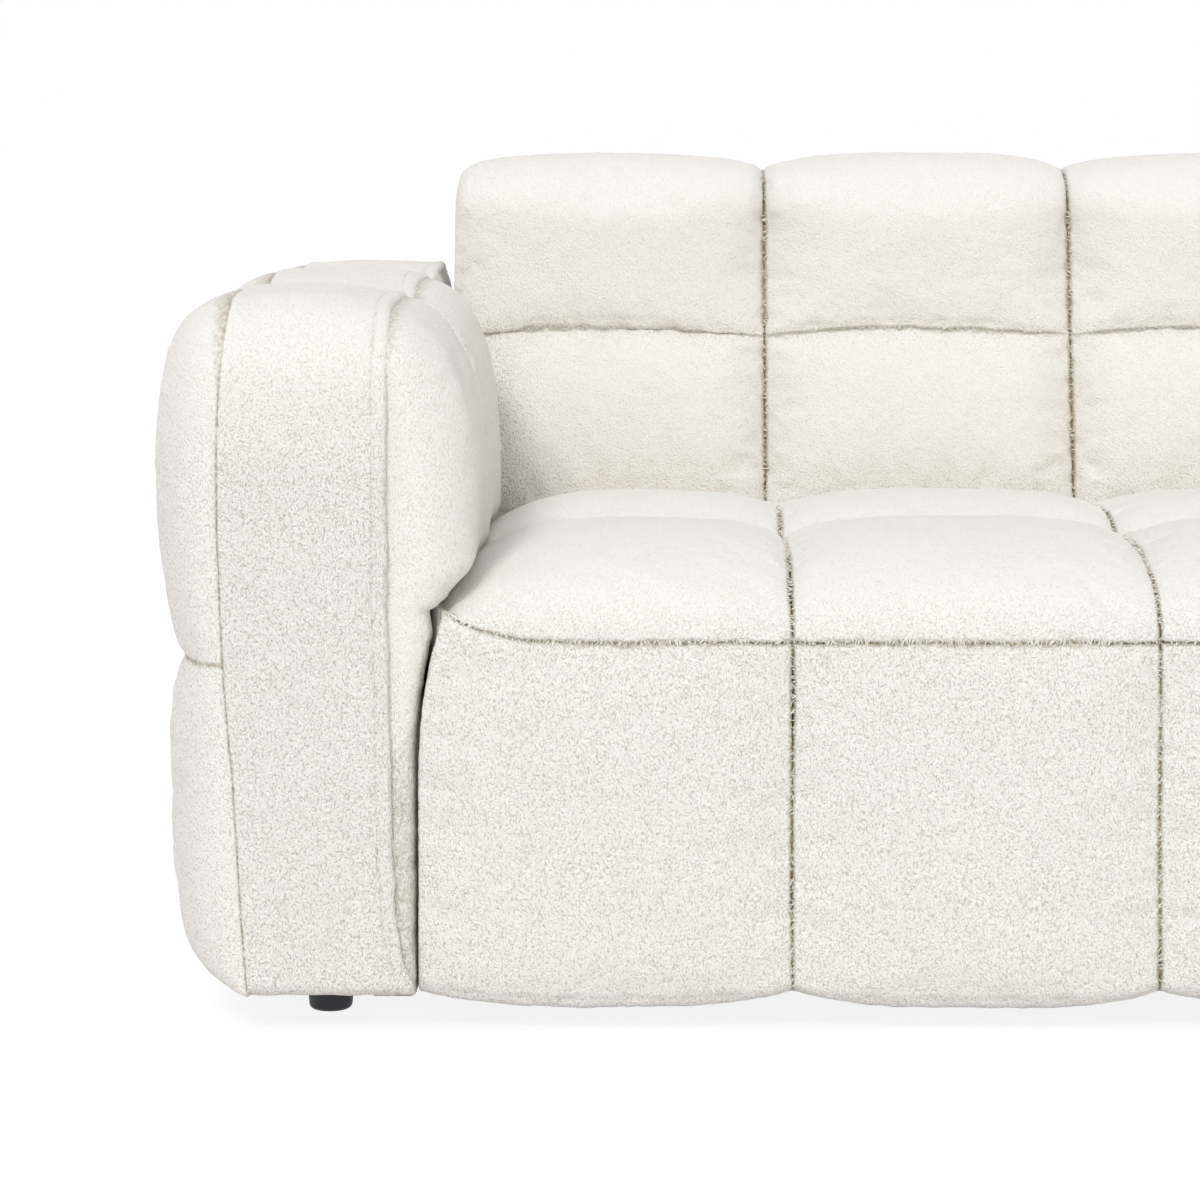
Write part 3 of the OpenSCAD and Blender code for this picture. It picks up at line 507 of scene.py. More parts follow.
def sew(names, panels, nodes, fill, **settings):
    """Makes stuffed panels into pieces that stand for nodes, and returns their settled grids."""
    grids = stuffed(panels, **settings)
    for name, grid, panel, node in zip(names, grids, panels, nodes):
        rings = np.concatenate([grid, panel.hidden], 1)
        dress(tube(name, rings, fabric, panel.marks, panel.relief), node)
    return grids


# ---------------------------------------------------------------- seat
def seat_x(u):
    """Place across the sofa of a share u of the columns, whose outer halves are a little wider."""
    wide = PITCH + 2 * EASE
    last = np.where(u > COLUMNS - 0.5, HALF - (COLUMNS - u) * wide, (u - COLUMNS / 2) * PITCH)
    return np.where(u < 0.5, u * wide - HALF, last)


def seat_u(x):
    """Share of the columns at a place across the sofa."""
    wide = PITCH + 2 * EASE
    inner = x / PITCH + COLUMNS / 2
    last = np.where(inner > COLUMNS - 0.5, COLUMNS - (HALF - x) / wide, inner)
    return np.where(inner < 0.5, (x + HALF) / wide, last)


# Lengths of the cloth from front to rear: front panel, roll to the crown, slope to the cross seam, rear tufts
FACE_LONG, ROLL_LONG, SLOPE_LONG, REAR_LONG = SEAM_Z - BASE, 215.0, CROSS_D - ROLL_D, SEAT_D - CROSS_D
FACE = spread(FACE_LONG, 12.0, 11.0)
ROLL = np.linspace(0, 1, 56)[1:]
SLOPE = spread(SLOPE_LONG, 0.0, 12.0)[1:]
REAR = spread(REAR_LONG, 12.0, 20.0, 5.0)[1:]
CROSS_AT = len(FACE) + len(ROLL) + len(SLOPE) - 1


def seat_corner(d, z):
    """How far the seat's outer front corner is drawn in at a depth and height."""
    return CORNER_IN * np.clip((z - 205) / 135, 0, 1) ** 2.2 * np.exp(-np.clip(d - 18, 0, None) / 38)


def seat_column(c):
    """Rings of one seat column from its left seam to its right one."""
    x0, x1 = float(seat_x(np.float64(c))), float(seat_x(np.float64(c + 1)))
    x = x0 + spread(x1 - x0, 14.0, 14.0)
    u = seat_u(x)[:, None]
    share = np.clip(u - c, 0, 1)
    dist = np.minimum(x - x0, x1 - x)[:, None]
    side = np.minimum(u, COLUMNS - u)
    end = np.minimum(HALF + x, HALF - x)[:, None]
    rise = quarter(side * 2)
    line = x[:, None] * [[1.0]]
    fill = 1 - 0.5 * turn_in(dist, 13.0) - 0.5 * (1 - swell(share, 4.0))
    top = 1 - 0.4 * turn_in(dist, 15.0) - 0.6 * (1 - swell(share, 3.2))
    top = np.where(side < 0.5, 1.0, top)
    wave = np.stack([line, 0 * line, 0 * line], -1)
    seam_z = SEAM_Z + 1.0 * noise(wave, 60, 11) + 0.5 * noise(wave, 17, 12) + 25 * np.exp(-end / 46)
    front, groove = 14 * (1 - fill), 22 * (1 - top)
    low = BASE - 11 * swell(share, 2.6)
    # front panel, from its lower edge to the front seam
    up = FACE[None, :]
    left = FACE_LONG - up
    t = up / FACE_LONG
    d_face = front + 12 * turn_in(up, 12.0) + 4.0 * (1 - swell(t, 3.0)) + 5.5 * turn_in(left, 9.0)
    z_face = mix(low, seam_z, t)
    bump_face = 1.2 * pucker(line, left, 21, 10) + 0.9 * pucker(up + 0 * line, dist + 0 * up, 22, 13, 18)
    # soft roll from the seam to the crown
    a = ROLL[None, :] * math.pi / 2
    roll_h = (CROWN_Z - SEAM_Z) * rise
    gone = ROLL[None, :] * ROLL_LONG
    d_roll = mix(front, 0.0, ROLL[None, :]) + mix(4.0, ROLL_D, 1 - np.cos(a)) + 5.5 * turn_in(gone, 9.0)
    hump = np.clip(roll_h - groove - (seam_z - SEAM_Z), 2.0, None)
    z_roll = seam_z + hump * np.sin(a)
    bump_roll = 1.4 * pucker(line, gone, 23, 10) + 0.7 * pucker(gone + 0 * line, dist + 0 * gone, 24, 16, 18)
    # slope to the cross seam
    crown = seam_z + hump + groove
    cross = SEAM_Z + (CROWN_Z - 12 - SEAM_Z) * rise
    t = SLOPE[None, :] / SLOPE_LONG
    d_slope = mix(ROLL_D, CROSS_D, t) + 0 * line
    z_slope = mix(crown, cross, t * t) - groove - 6 * rise * turn_in(SLOPE_LONG - SLOPE[None, :], 12.0)
    # rear row of tufts
    t = REAR[None, :] / REAR_LONG
    rear = SEAM_Z + (CROWN_Z - 45 - SEAM_Z) * rise
    d_rear = mix(CROSS_D, SEAT_D, t) + 0 * line
    z_rear = mix(cross, rear, t) + 27 * rise * swell(t, 3.2) - groove * (1 - t / 2)
    z_rear = z_rear - 6 * rise * turn_in(REAR[None, :], 12.0)
    bump_slope = 1.0 * pucker(SLOPE[None, :] + 0 * line, dist + 0 * SLOPE[None, :], 25, 20, 26)
    bump_rear = 1.0 * pucker(REAR[None, :] + 0 * line, dist + 0 * REAR[None, :], 26, 20, 26)
    bump_rear = bump_rear + 0.9 * pucker(line, REAR[None, :], 27, 18, 26)
    d = np.concatenate([d_face, d_roll, d_slope, d_rear], 1)
    z = np.concatenate([z_face, z_roll, z_slope, z_rear], 1)
    extra = np.concatenate([bump_face, bump_roll, bump_slope, bump_rear], 1)
    sx = line - np.sign(line) * seat_corner(d, z) * np.exp(-((end / 70) ** 2))
    wander = 1.3 * noise(np.stack([0 * d, d, z], -1), 55, 31 + c)
    sx = sx + wander * smooth(end / 60) * smooth((40 - dist) / 40)
    p = np.stack([sx, FRONT + d, z], -1)
    keep = smooth(dist / 12.0) * smooth((SEAT_D - d) / 40)
    p = soften(p, -1.0, 1.0, keep)
    p = p - normals(p) * (extra * smooth(dist / 5.0))[..., None]
    between = (x1 - x if c == 0 else x - x0 if c == COLUMNS - 1 else dist[:, 0])[:, None]
    seam_marks = 0.85 * np.exp(-between / 1.25) + 0 * d
    roll_at, slope_at = len(FACE), len(FACE) + len(ROLL)
    to_front = np.full(d.shape[1], AWAY)
    to_front[:roll_at] = FACE[-1] - FACE
    to_front[roll_at:slope_at] = ROLL * ROLL_LONG
    to_cross = np.full(d.shape[1], AWAY)
    to_cross[slope_at : CROSS_AT + 1] = SLOPE_LONG - SLOPE
    to_cross[CROSS_AT + 1 :] = REAR
    marks = np.maximum(seam_marks, 0.75 * np.exp(-to_front / 2.2)[None, :])
    marks = np.maximum(marks, 0.8 * np.exp(-to_cross / 2.4)[None, :])
    # rear face, cavity over the frame and underside, which the sofa hides
    n = len(x)
    solid = (np.abs(x) > FRAME_HALF)[:, None]
    inner = [[624.9, BASE], [625.3, FRAME_TOP], [613, FRAME_TOP], [613, FOAM_TOP], [56, FOAM_TOP]]
    inner = np.array(inner + [[56, FRAME_TOP], [29.7, FRAME_TOP], [29.7, BASE]])
    flat = inner.copy()
    flat[:, 1] = BASE
    path = np.where(solid[..., None], flat[None], inner[None])
    hidden = np.concatenate([np.broadcast_to([[[SEAT_D, 200.0], [SEAT_D, BASE]]], (n, 2, 2)), path], 1)
    hx = np.broadcast_to(x[:, None], hidden.shape[:2])
    hidden = np.stack([hx, FRONT + hidden[..., 0], hidden[..., 1]], -1)
    # deeper loops on the front panel, with more painted gap shade, and shallower ones on top, which are
    # painted darker with flat shade
    relief = mix(0.87, 0.50, smooth((z - SEAM_Z + 6) / 60))
    held = np.zeros(d.shape, bool)
    held[:, [roll_at - 1, CROSS_AT]] = True
    return Panel(p, hidden, marks, relief, held, -1)


seat_columns = [seat_column(c) for c in range(COLUMNS)]
names = [f"seat_column_{c + 1}" for c in range(COLUMNS)]
seat_grids = sew(names, seat_columns, ["seat_cover"] * COLUMNS, 0.7)


# ---------------------------------------------------------------- back
def lean_d(z):
    return SEAT_D + 8 + (z - FOOT_Z) * LEAN


LOW_LONG, HIGH_LONG = ROW_Z - FOOT_Z, ROLL_Z - ROW_Z
LOW = spread(LOW_LONG, 0.0, 14.0)
HIGH = spread(HIGH_LONG, 14.0, 0.0)[1:]
OVER = np.linspace(0, 1, 62)[1:]


def back_column(c):
    """Rings of one back column, from its foot behind the seat over the top to the rear seam."""
    scale = (HALF + BACK_REACH) / HALF
    x0, x1 = float(seat_x(np.float64(c))) * scale, float(seat_x(np.float64(c + 1))) * scale
    x = x0 + spread(x1 - x0, 14.0, 14.0)
    line = x[:, None] * [[1.0]]
    share = (line - x0) / (x1 - x0)
    dist = np.minimum(line - x0, x1 - line)
    end = np.minimum(HALF + BACK_REACH + line, HALF + BACK_REACH - line)
    fill = 1 - 0.3 * turn_in(dist, 14.0) - 0.7 * (1 - swell(share, 5.0))
    wave = np.stack([line, 0 * line, 0 * line], -1)
    wander = 1.2 * noise(wave, 52, 41) + 0.6 * noise(wave, 17, 42) + 8 * swell(share, 2.0) - 4
    t = LOW[None, :] / LOW_LONG
    left = LOW_LONG - LOW[None, :]
    z_low = mix(FOOT_Z, ROW_Z, t) + wander * t
    full = 1 - np.where(t < 0.5, 0.50, 0.36) * np.abs(2 * t - 1) ** 3.2 - 0.08 * turn_in(left, 12.0)
    d_low = lean_d(z_low) - 34 * fill * full
    t = HIGH[None, :] / HIGH_LONG
    z_high = mix(ROW_Z, ROLL_Z, t) + wander * (1 - t)
    d_high = lean_d(z_high) - fill * (20 + 10 * quarter(HIGH[None, :] / 16) + 12 * t**2)
    a = OVER[None, :] * math.pi
    middle = DEPTH - 110
    reach = np.where(a < math.pi / 2, middle - lean_d(ROLL_Z) + 42 * fill, 110.0)
    d_over = middle - reach * np.cos(a)
    z_over = ROLL_Z + (TOP_Z - ROLL_Z - 20 * (1 - fill)) * np.sin(a) ** 0.9
    d = np.concatenate([d_low, d_high, d_over], 1)
    z = np.concatenate([z_low, z_high, z_over], 1)
    z = z - 14 * turn_in(end, 14.0) * smooth((z - 600) / 90)
    p = np.stack([line + 0 * d, FRONT + d, z], -1)
    keep = smooth(dist / 12.0) * smooth((z - 375) / 40)
    p = soften(p, -1.0, 1.1, keep, 50)
    extra = np.zeros(d.shape)
    extra[:, : len(LOW)] = 1.1 * pucker(line, left, 61, 12)
    extra[:, len(LOW) : len(LOW) + len(HIGH)] = 1.1 * pucker(line, HIGH[None, :], 62, 12)
    extra = extra + 0.9 * pucker(z + d, dist + 0 * z, 63, 16, 22)
    p = p - normals(p) * (extra * smooth(dist / 5.0) * smooth((z - 375) / 40))[..., None]
    to_row = np.full(d.shape[1], AWAY)
    to_row[: len(LOW)] = LOW_LONG - LOW
    to_row[len(LOW) : len(LOW) + len(HIGH)] = HIGH
    between = x1 - line if c == 0 else line - x0 if c == COLUMNS - 1 else dist
    marks = np.maximum(0.85 * np.exp(-between / 1.25) + 0 * d, 0.3 * np.exp(-to_row / 2.2)[None, :])
    solid = np.abs(line) > FRAME_HALF
    inner = [[REAR_BOARD_D, ROLL_Z], [REAR_BOARD_D, TOP_RAIL_Z], [lean_d(664) + 11.7, TOP_RAIL_Z]]
    inner = np.array(inner + [[lean_d(FOOT_Z) + 11.7, FOOT_Z], [BACK_FRAME_D, FOOT_Z], [BACK_FRAME_D, BASE]])
    whole = np.array([[898, 400], [898, BASE], [898, BASE], [898, BASE], [697, BASE], [697, BASE]])
    path = np.where(solid[..., None], whole[None], inner[None])
    foot = np.broadcast_to([[[SEAT_D + 0.3, BASE], [SEAT_D + 0.3, 352.0]]], (len(x), 2, 2))
    hidden = np.concatenate([path, foot], 1)
    hx = np.broadcast_to(line, hidden.shape[:2])
    hidden = np.stack([hx, FRONT + hidden[..., 0], hidden[..., 1]], -1)
    # deeper loops, with more painted gap shade, near the row seam, lower down, and low near the back's ends
    # beside the arms
    relief = 0.46 + 0.25 * np.exp(-to_row / 12)[None, :] + 0.2 * smooth((430 - z) / 60)
    relief = relief + 0.5 * smooth((110 - end) / 90) * smooth((560 - z) / 80)
    held = np.zeros(d.shape, bool)
    held[:, len(LOW) - 1] = True
    return Panel(p, hidden, marks, relief, held, -1)


back_columns = [back_column(c) for c in range(COLUMNS)]
names = [f"back_column_{c + 1}" for c in range(COLUMNS)]
back_grids = sew(names, back_columns, ["back_cover"] * COLUMNS, 0.7)


def rear_panel():
    """The plain rear of the back, from the seam under the roll to its lower edge."""
    half = HALF + BACK_REACH
    x = -half + spread(2 * half, 14.0, 14.0, 7.0)
    drop = spread(ROLL_Z - BASE, 11.0, 14.0, 7.0)
    z = (ROLL_Z - drop)[None, :] + 0 * x[:, None]
    side = np.minimum(x + half, half - x)[:, None]
    bulge = 3.0 * smooth(drop[None, :] / 160) * smooth((ROLL_Z - BASE - drop)[None, :] / 160)
    d = DEPTH - 8 * turn_in(drop, 11.0)[None, :] - 14 * turn_in(ROLL_Z - BASE - drop, 14.0)[None, :]
    d = d - 12 * turn_in(side, 14.0) + bulge * smooth(side / 200)
    p = np.stack([x[:, None] + 0 * d, FRONT + d, z], -1)
    p = soften(p, 1.0, 1.2, smooth(side / 30) * smooth(drop[None, :] / 30), 80)
    inner_z = np.array([BASE, ROLL_Z])
    hidden = np.stack(np.broadcast_arrays(x[:, None], FRONT + REAR_BOARD_D, inner_z[None, :]), -1)
    marks = np.maximum(np.exp(-drop / 2.4)[None, :] * 0.8, np.exp(-side / 2.4))
    return np.concatenate([p, hidden], 1), marks


rings, marks = rear_panel()
dress(tube("back_rear_panel_cover", rings, fabric, marks), "back_cover")


# ---------------------------------------------------------------- arms
# Heights, and how far out of the seat's side the band's outer seam lies there
EDGE_Z = np.array([30, 70, 135, 200, 243, 286, 351, 400, 470, 540, 602.0])
EDGE_A = np.array([137, 141, 145, 149, 153, 157, 160, 162, 163, 160, 155.0])
# The same for the free edge of its flange
FREE_Z = np.array([30, 38, 49, 81, 135, 200, 265, 351, 470, 530, 602.0])
FREE_A = np.array([3, 4, 8, 16, 20, 21.5, 22, 25, 26, 26, 24.0])
FLANGE = 12.0  # from the free edge to its stitching
LAP = 4.5  # how far a panel's edge lies under the band


def soft_line(z, at, values, width):
    """Reads a line through a few places with its corners rounded over a width."""
    fine = np.arange(0.0, 660.0, 2.0)
    reach = int(3 * width / 2)
    kernel = np.exp(-0.5 * (np.arange(-reach, reach + 1) * 2.0 / width) ** 2)
    rough = np.pad(np.interp(fine, at, values), reach, mode="edge")
    return np.interp(z, fine, np.convolve(rough, kernel / kernel.sum(), mode="valid"))


def band_edge(z):
    """How far out the band's outer seam lies at a height."""
    return soft_line(z, EDGE_Z, EDGE_A, 16.0)


def free_edge(z):
    """How far out the flange's free edge lies: it turns in to the seat near the floor."""
    return soft_line(z, FREE_Z, FREE_A, 7.0)


def crest(d):
    """Height of the arm's top before the dips between its sections."""
    top = ARM_TOP - 9 * (2 * d / DEPTH - 1) ** 2
    return top - ARM_ROLL * (2 - quarter(d / ARM_ROLL) - quarter((DEPTH - d) / ARM_ROLL))


def seam_gap(d):
    """Distance along the arm to the nearer seam between its sections."""
    return np.minimum(np.abs(d - SECTION), np.abs(d - 2 * SECTION))


def dip(d):
    """Depth of the sewn dips between the arm's sections."""
    near = seam_gap(d)
    return 22 * np.clip(1 - near / 150, 0, 1) ** 2.4 + 12 * turn_in(near, 24.0)


def ear(d):
    """How far the flange stands up at the rear corner of each section."""
    tips = [(228, 22, 2.5), (548, 24, 4.5), (806, 26, 4.0)]
    return sum(high * np.exp(-(((d - at) / wide) ** 2)) for at, wide, high in tips)


def inner_fall(d):
    """How much lower the inner edge of the arm's top lies than its middle."""
    return mix(9.0, 3.0, d / DEPTH) * smooth(d / 70) * smooth((DEPTH - d) / 70)


def inner_fill(d, z):
    front = quarter(d / mix(26.0, 60.0, smooth((z - 300) / 130)))
    rear = quarter((DEPTH - d) / 60)
    pressed = (WELT - BACK_REACH - 0.8) / (WELT + ARM_REACH)
    squeeze = np.clip((SEAT_D - 15 - d) / 95, 0, 1)
    return np.minimum(np.minimum(front, rear), mix(pressed, 1, quarter(squeeze)))


def outer_fill(d):
    return np.minimum(quarter(d / 110), quarter((DEPTH - d) / 110))


def lobe(t, foot, power):
    return np.sqrt(np.clip(1 - t**power, 0, 1)) * (1 - (1 - foot) * (1 - t) ** 8)


# Depths of the arm's points, closer together at the seams between its sections
ARM_D = np.concatenate(
    [
        spread(SECTION, 60.0, 15.0)[:-1],
        SECTION + spread(SECTION, 15.0, 15.0)[:-1],
        2 * SECTION + spread(SECTION, 15.0, 60.0),
    ]
)
RIM = np.array([0.0, 0.034, 0.14, 0.38, 0.98, 2.2, 4.4, 8.1])
SIDE_D = np.concatenate([RIM, ARM_D[(ARM_D > 12) & (ARM_D < DEPTH - 12)], DEPTH - RIM[::-1]])


def arm_place(side, a, d, z):
    """Points of an arm from its distance out from the seat's side, depth and height."""
    return np.stack(np.broadcast_arrays(side * (HALF + a), FRONT + d, z), -1)


def section_fold(d, below):
    """Soft folds that run down the side panels from the dips of the arm's top."""
    near = np.where(d < 450, d - SECTION, d - 2 * SECTION)
    bent = near - 14 * np.sin(below / 70)
    width = 7 + 0.16 * below
    return np.exp(-((bent / width) ** 2)) * smooth(1 - below / 210) ** 1.3


def sunk(d, aside=0.0, lap=LAP):
    """Depth places of a panel whose front and rear edges turn in under the band."""
    return d + lap * (np.exp(-(d + aside) / 3.5) - np.exp(-(DEPTH - d + aside) / 3.5))


def seat_bound(side, d, z):
    """How far out from the seat's side the seat's own skin lies at depths d (n, 1) and heights z (n, m)."""
    skin = seat_grids[0] if side < 0 else seat_grids[-1][::-1]
    skin = skin[: len(skin) // 2 + 4, len(FACE) - 1 :]
    into, depth, height = HALF - np.abs(skin[..., 0]), skin[..., 1] - FRONT, skin[..., 2]
    bound = np.zeros(z.shape)
    for i, at in enumerate(d[:, 0]):
        up = np.array([np.interp(at, *pair) for pair in zip(depth, height)])
        aside = np.array([np.interp(at, *pair) for pair in zip(depth, into)])
        bound[i] = -np.interp(z[i], np.maximum.accumulate(up) + 1e-6 * np.arange(len(up)), aside)
    return bound


def path_over_pad(board, face, over, top):
    """Hidden path of a side panel from its top down, along the boards and, where over is true, over the
    foam pad, as distances out and heights."""
    z = np.array([ARM_TOP, PAD_HIGH + 3.5, PAD_HIGH, PAD_HIGH, PAD_LOW, PAD_LOW, 60.0, BASE])
    a = np.array([board, board, board, face, face, board, board, board])
    a = np.where(over[:, None], a[None], board)
    return a, np.minimum(z[None], top - 4)


def arm_inner(side):
    """Points of an inner side panel, which stands on the seat's side and then leans over the seat."""
    d = SIDE_D[:, None]
    top = crest(SIDE_D) - dip(SIDE_D) - inner_fall(SIDE_D) + 0.9 * ear(SIDE_D) - 4.0
    top = top[:, None]
    over, bend = SEAM_Z + 0.6, 373.0
    z_low = np.linspace(BASE, over, 60)[None, :] + 0 * d
    z_mid = np.linspace(over, 402.0, 26)[None, 1:] + 0 * d
    z_high = mix(402.0, top, spread(1.0, 0.0, 0.07, 0.019)[None, 1:])
    z_up = np.concatenate([z_mid, z_high], 1)
    t = np.clip((z_up - bend) / (top - bend), 0, 1)
    bulge = mix(WELT, -ARM_REACH, quarter(1 - t**1.7))
    pressed = seat_bound(side, np.maximum(d, 115.0), z_up)
    pressed = pressed - seat_corner(d, z_up) * np.clip(1 - (z_up - over) / 60, 0, 1)
    over_seat = 9.0 * np.log(np.exp(bulge / 9.0) + np.exp(pressed / 9.0))
    reach = np.concatenate([0.6 - seat_corner(d, z_low), 0.6 + over_seat], 1)
    z = np.concatenate([z_low, z_up], 1)
    wave = np.stack([z, 0 * z, 0 * z], -1)
    open_at = np.exp(-d / 45) * smooth((over + 45 - z) / 45)
    reach = reach + open_at * (2.5 + 1.0 * noise(wave, 24, 151) + 0.9 * noise(wave, 9, 152))
    edge = free_edge(z) + 4
    a = mix(edge, reach, inner_fill(d, z))
    below = top - z
    rim = np.minimum(d, DEPTH - d)
    depth = sunk(d) + 3.5 * np.exp(-d / 4)
    p = arm_place(side, a, depth, z)
    p[..., 0] += side * 8.0 * section_fold(d, below) * smooth(below / 14)
    clear = smooth((z - 378) / 40) * smooth((590 - d) / 60)
    keep = smooth(rim / 25) * smooth(below / 25) * clear
    p = soften(p, -side * 1.0, 1.3, keep, 100)
    path_a, path_z = path_over_pad(BOARD_IN, PAD_IN, (SIDE_D > 61) & (SIDE_D < 556), top)
    hidden = arm_place(side, path_a, depth, path_z)
    marks = np.exp(-np.clip(below, 0, None) / 3) * 0.5
    # painted shade in the crevice where the panel meets the seat's side, near the front
    marks = np.maximum(marks, 0.8 * smooth((inner_fill(d, z) - 0.80) / 0.14) * open_at)
    # painted warm shade low on the panel's front beside the seat, where its loops are also deeper
    shaded = np.exp(-((d / 22) ** 2)) * smooth((over - 10 - z) / 120)
    marks = np.maximum(marks, 0.3 * shaded)
    held = (z < 425) | (d > 610) | (below < 60) | (rim < 40)
    return Panel(p, hidden, marks, 0.62 + 0.3 * shaded, held, side)


def arm_outer(side):
    """Points of an outer side panel, in two swells over and under the crease."""
    d = SIDE_D[:, None]
    top = (crest(SIDE_D) - dip(SIDE_D) - 4.0)[:, None]
    bulge = ARM_SWELL * outer_fill(d)
    t_up = 1 - spread(1.0, 0.10, 0.0, 0.0135)[None, :]
    z_up = CREASE_Z + t_up * (top - CREASE_Z)
    a_up = band_edge(z_up) + bulge * lobe(t_up, 0.66, 9)
    t_low = spread(1.0, 0.0, 0.08, 0.015)[None, 1:]
    z_low = CREASE_Z - t_low * (CREASE_Z - BASE) + 0 * d
    a_low = band_edge(z_low) + bulge * (0.97 + 0.03 * quarter(d / 60)) * lobe(t_low, 0.66, 18)
    a = np.concatenate([a_up, a_low], 1)
    z = np.concatenate([z_up, z_low], 1)
    below = top - z
    rim = np.minimum(d, DEPTH - d)
    aside = np.abs(a - band_edge(z))
    p = arm_place(side, a, sunk(d, aside, 3.0), z)
    p[..., 0] -= side * 8.0 * section_fold(d, below) * smooth(below / 14)
    keep = smooth(rim / 25) * smooth(below / 25)
    crease = np.abs(z - CREASE_Z)
    fold = 1.0 * pucker(d + 0 * z, crease, 121, 24, 30)
    p = soften(p, side * 1.0, 1.3, keep * smooth(crease / 30), 110)
    p = p + normals(p) * (side * fold * keep)[..., None]
    over_pad = smooth((d - 38) / 6) * smooth((862 - d) / 6)
    over_pad = over_pad * smooth((z - PAD_LOW + 7) / 6) * smooth((PAD_HIGH + 6.5 - z) / 6)
    short = np.clip(HALF + PAD_OUT + 1.4 - np.abs(p[..., 0]), 0, None)
    p[..., 0] += side * short * over_pad * (np.abs(z - CREASE_Z) > 6)
    path_a, path_z = path_over_pad(BOARD_OUT, PAD_OUT, (SIDE_D > 44) & (SIDE_D < 856), top)
    skin_a = np.stack([np.interp(path_z[i], z[i, ::-1], a[i, ::-1]) for i in range(len(SIDE_D))])
    path_a = np.minimum(path_a, skin_a - 1.5)
    hidden = arm_place(side, path_a[:, ::-1], sunk(d), path_z[:, ::-1])
    marks = np.maximum(np.exp(-np.clip(below, 0, None) / 3) * 0.5, np.exp(-crease / 2.5) * 0.6)
    marks = np.maximum(marks, np.exp(-np.hypot(rim, aside) / 1.2) * 0.6)
    # shallower loops higher up, which are painted darker with flat shade
    relief = mix(0.78, 0.5, smooth((z - 430) / 150))
    held = (crease < 8) | (z < 110) | (below < 45) | (rim < 45)
    return Panel(p, hidden, marks, relief, held, side)


def band_path():
    """Depth and height along the middle of the band, front to rear, with the outward direction."""
    up = spread(crest(0.0) - BASE, 12.0, 0.0)
    over_d = ARM_D[1:-1]
    d = np.concatenate([np.zeros(len(up)), over_d, np.full(len(up), DEPTH)])
    z = np.concatenate([BASE + up, crest(over_d), BASE + up[::-1]])
    tangent = np.stack([np.gradient(d), np.gradient(z)], -1)
    tangent /= np.maximum(np.linalg.norm(tangent, axis=-1, keepdims=True), 1e-9)
    length = np.cumsum(np.concatenate([[0], np.hypot(np.diff(d), np.diff(z))]))
    return d, z, np.stack([-tangent[:, 1], tangent[:, 0]], -1), length


# Distances from the band's free edge, closer together at its edges and at the stitching
ACROSS = np.concatenate(
    [
        [0, 0.35, 1.1, 2.2, 3.6, 5.4, 7.6, 9.4, 10.4, 11.2, 12.0, 12.8, 13.6, 14.8, 16.6, 19.2],
        np.linspace(23, 119, 25),
        [122.5, 125.5, 128.0, 130.0, 131.6, 132.8, 133.6, 134.0],
    ]
)


def arm_band(side, name):
    """The band over the front, top and rear, with its lapped and stitched edge towards the seat."""
    d, z, out, length = band_path()
    inner, outer = free_edge(z), band_edge(z)
    wide = (outer - inner)[:, None]
    across = (ACROSS / ACROSS[-1])[None, :]
    wave = np.stack([length, 0 * length, 0 * length], -1)
    fray = (0.9 * noise(wave, 38, 144) + 0.7 * noise(wave, 13, 141) + 0.5 * noise(wave, 6, 142))[:, None]
    a = inner[:, None] + across * wide + fray * np.exp(-ACROSS / 9.0)[None, :]
    to_inner, to_outer = across * wide, (1 - across) * wide
    lift = 2.5 * swell(across, 2.5) - 1.5 - 1.4 * turn_in(to_outer, 3.5)
    lift = lift - 5.0 * turn_in(to_inner, 4.0) + 1.0 * smooth(1 - (to_inner - FLANGE + 4) / 8)
    stitch = 0.9 + 0.45 * noise(wave, 5.0, 147)[:, None]
    lift = lift - 1.3 * stitch * np.exp(-(((to_inner - FLANGE) / 1.5) ** 2))
    lift = lift - inner_fall(d)[:, None] * (1 - across) ** 3 + ear(d)[:, None] * np.exp(-to_inner / 20)
    drop = (dip(d) * smooth(d / 60) * smooth((DEPTH - d) / 60))[:, None]
    dd = d[:, None] + out[:, :1] * lift
    zz = z[:, None] + out[:, 1:] * lift - drop
    hem = (np.abs(out[:, :1]) > 0.9) * turn_in(z - BASE, 12.0)[:, None]
    dd = dd - out[:, :1] * 12 * hem
    p = arm_place(side, a, dd, zz)
    keep = smooth(to_inner / 20) * smooth(to_outer / 14) * smooth(seam_gap(d)[:, None] / 14)
    p = soften(p, -side * 1.0, 1.0, keep, 130)
    along = length[:, None] + 0 * a
    gather = 1.0 * pucker(along, to_outer, 131, 10) + 0.6 * pucker(along, np.abs(to_inner - FLANGE), 132, 10)
    gather = gather + 0.8 * pucker(a * 1.0, seam_gap(d)[:, None] + 0 * a, 133, 12, 20)
    p = p - normals(p) * (side * gather)[..., None]
    thick = 22.0
    bd, bz = d - out[:, 0] * thick, np.maximum(z - dip(d) - out[:, 1] * thick, BASE)
    hidden = np.stack([arm_place(side, outer - 3, bd, bz), arm_place(side, inner + 5, bd, bz)], 1)
    marks = np.maximum(np.exp(-to_outer / 1.3) * 0.6, 0.34 * np.exp(-np.abs(to_inner - FLANGE) / 1.0))
    marks = np.maximum(marks, np.exp(-seam_gap(d)[:, None] / 2.5) * 0.8)
    # shallower loops higher up, which are painted darker with flat shade
    relief = mix(0.92, 0.58, smooth((z - 440) / 150))[:, None] + 0 * a
    return tube(name, np.concatenate([p, hidden], 1), fabric, marks, relief)


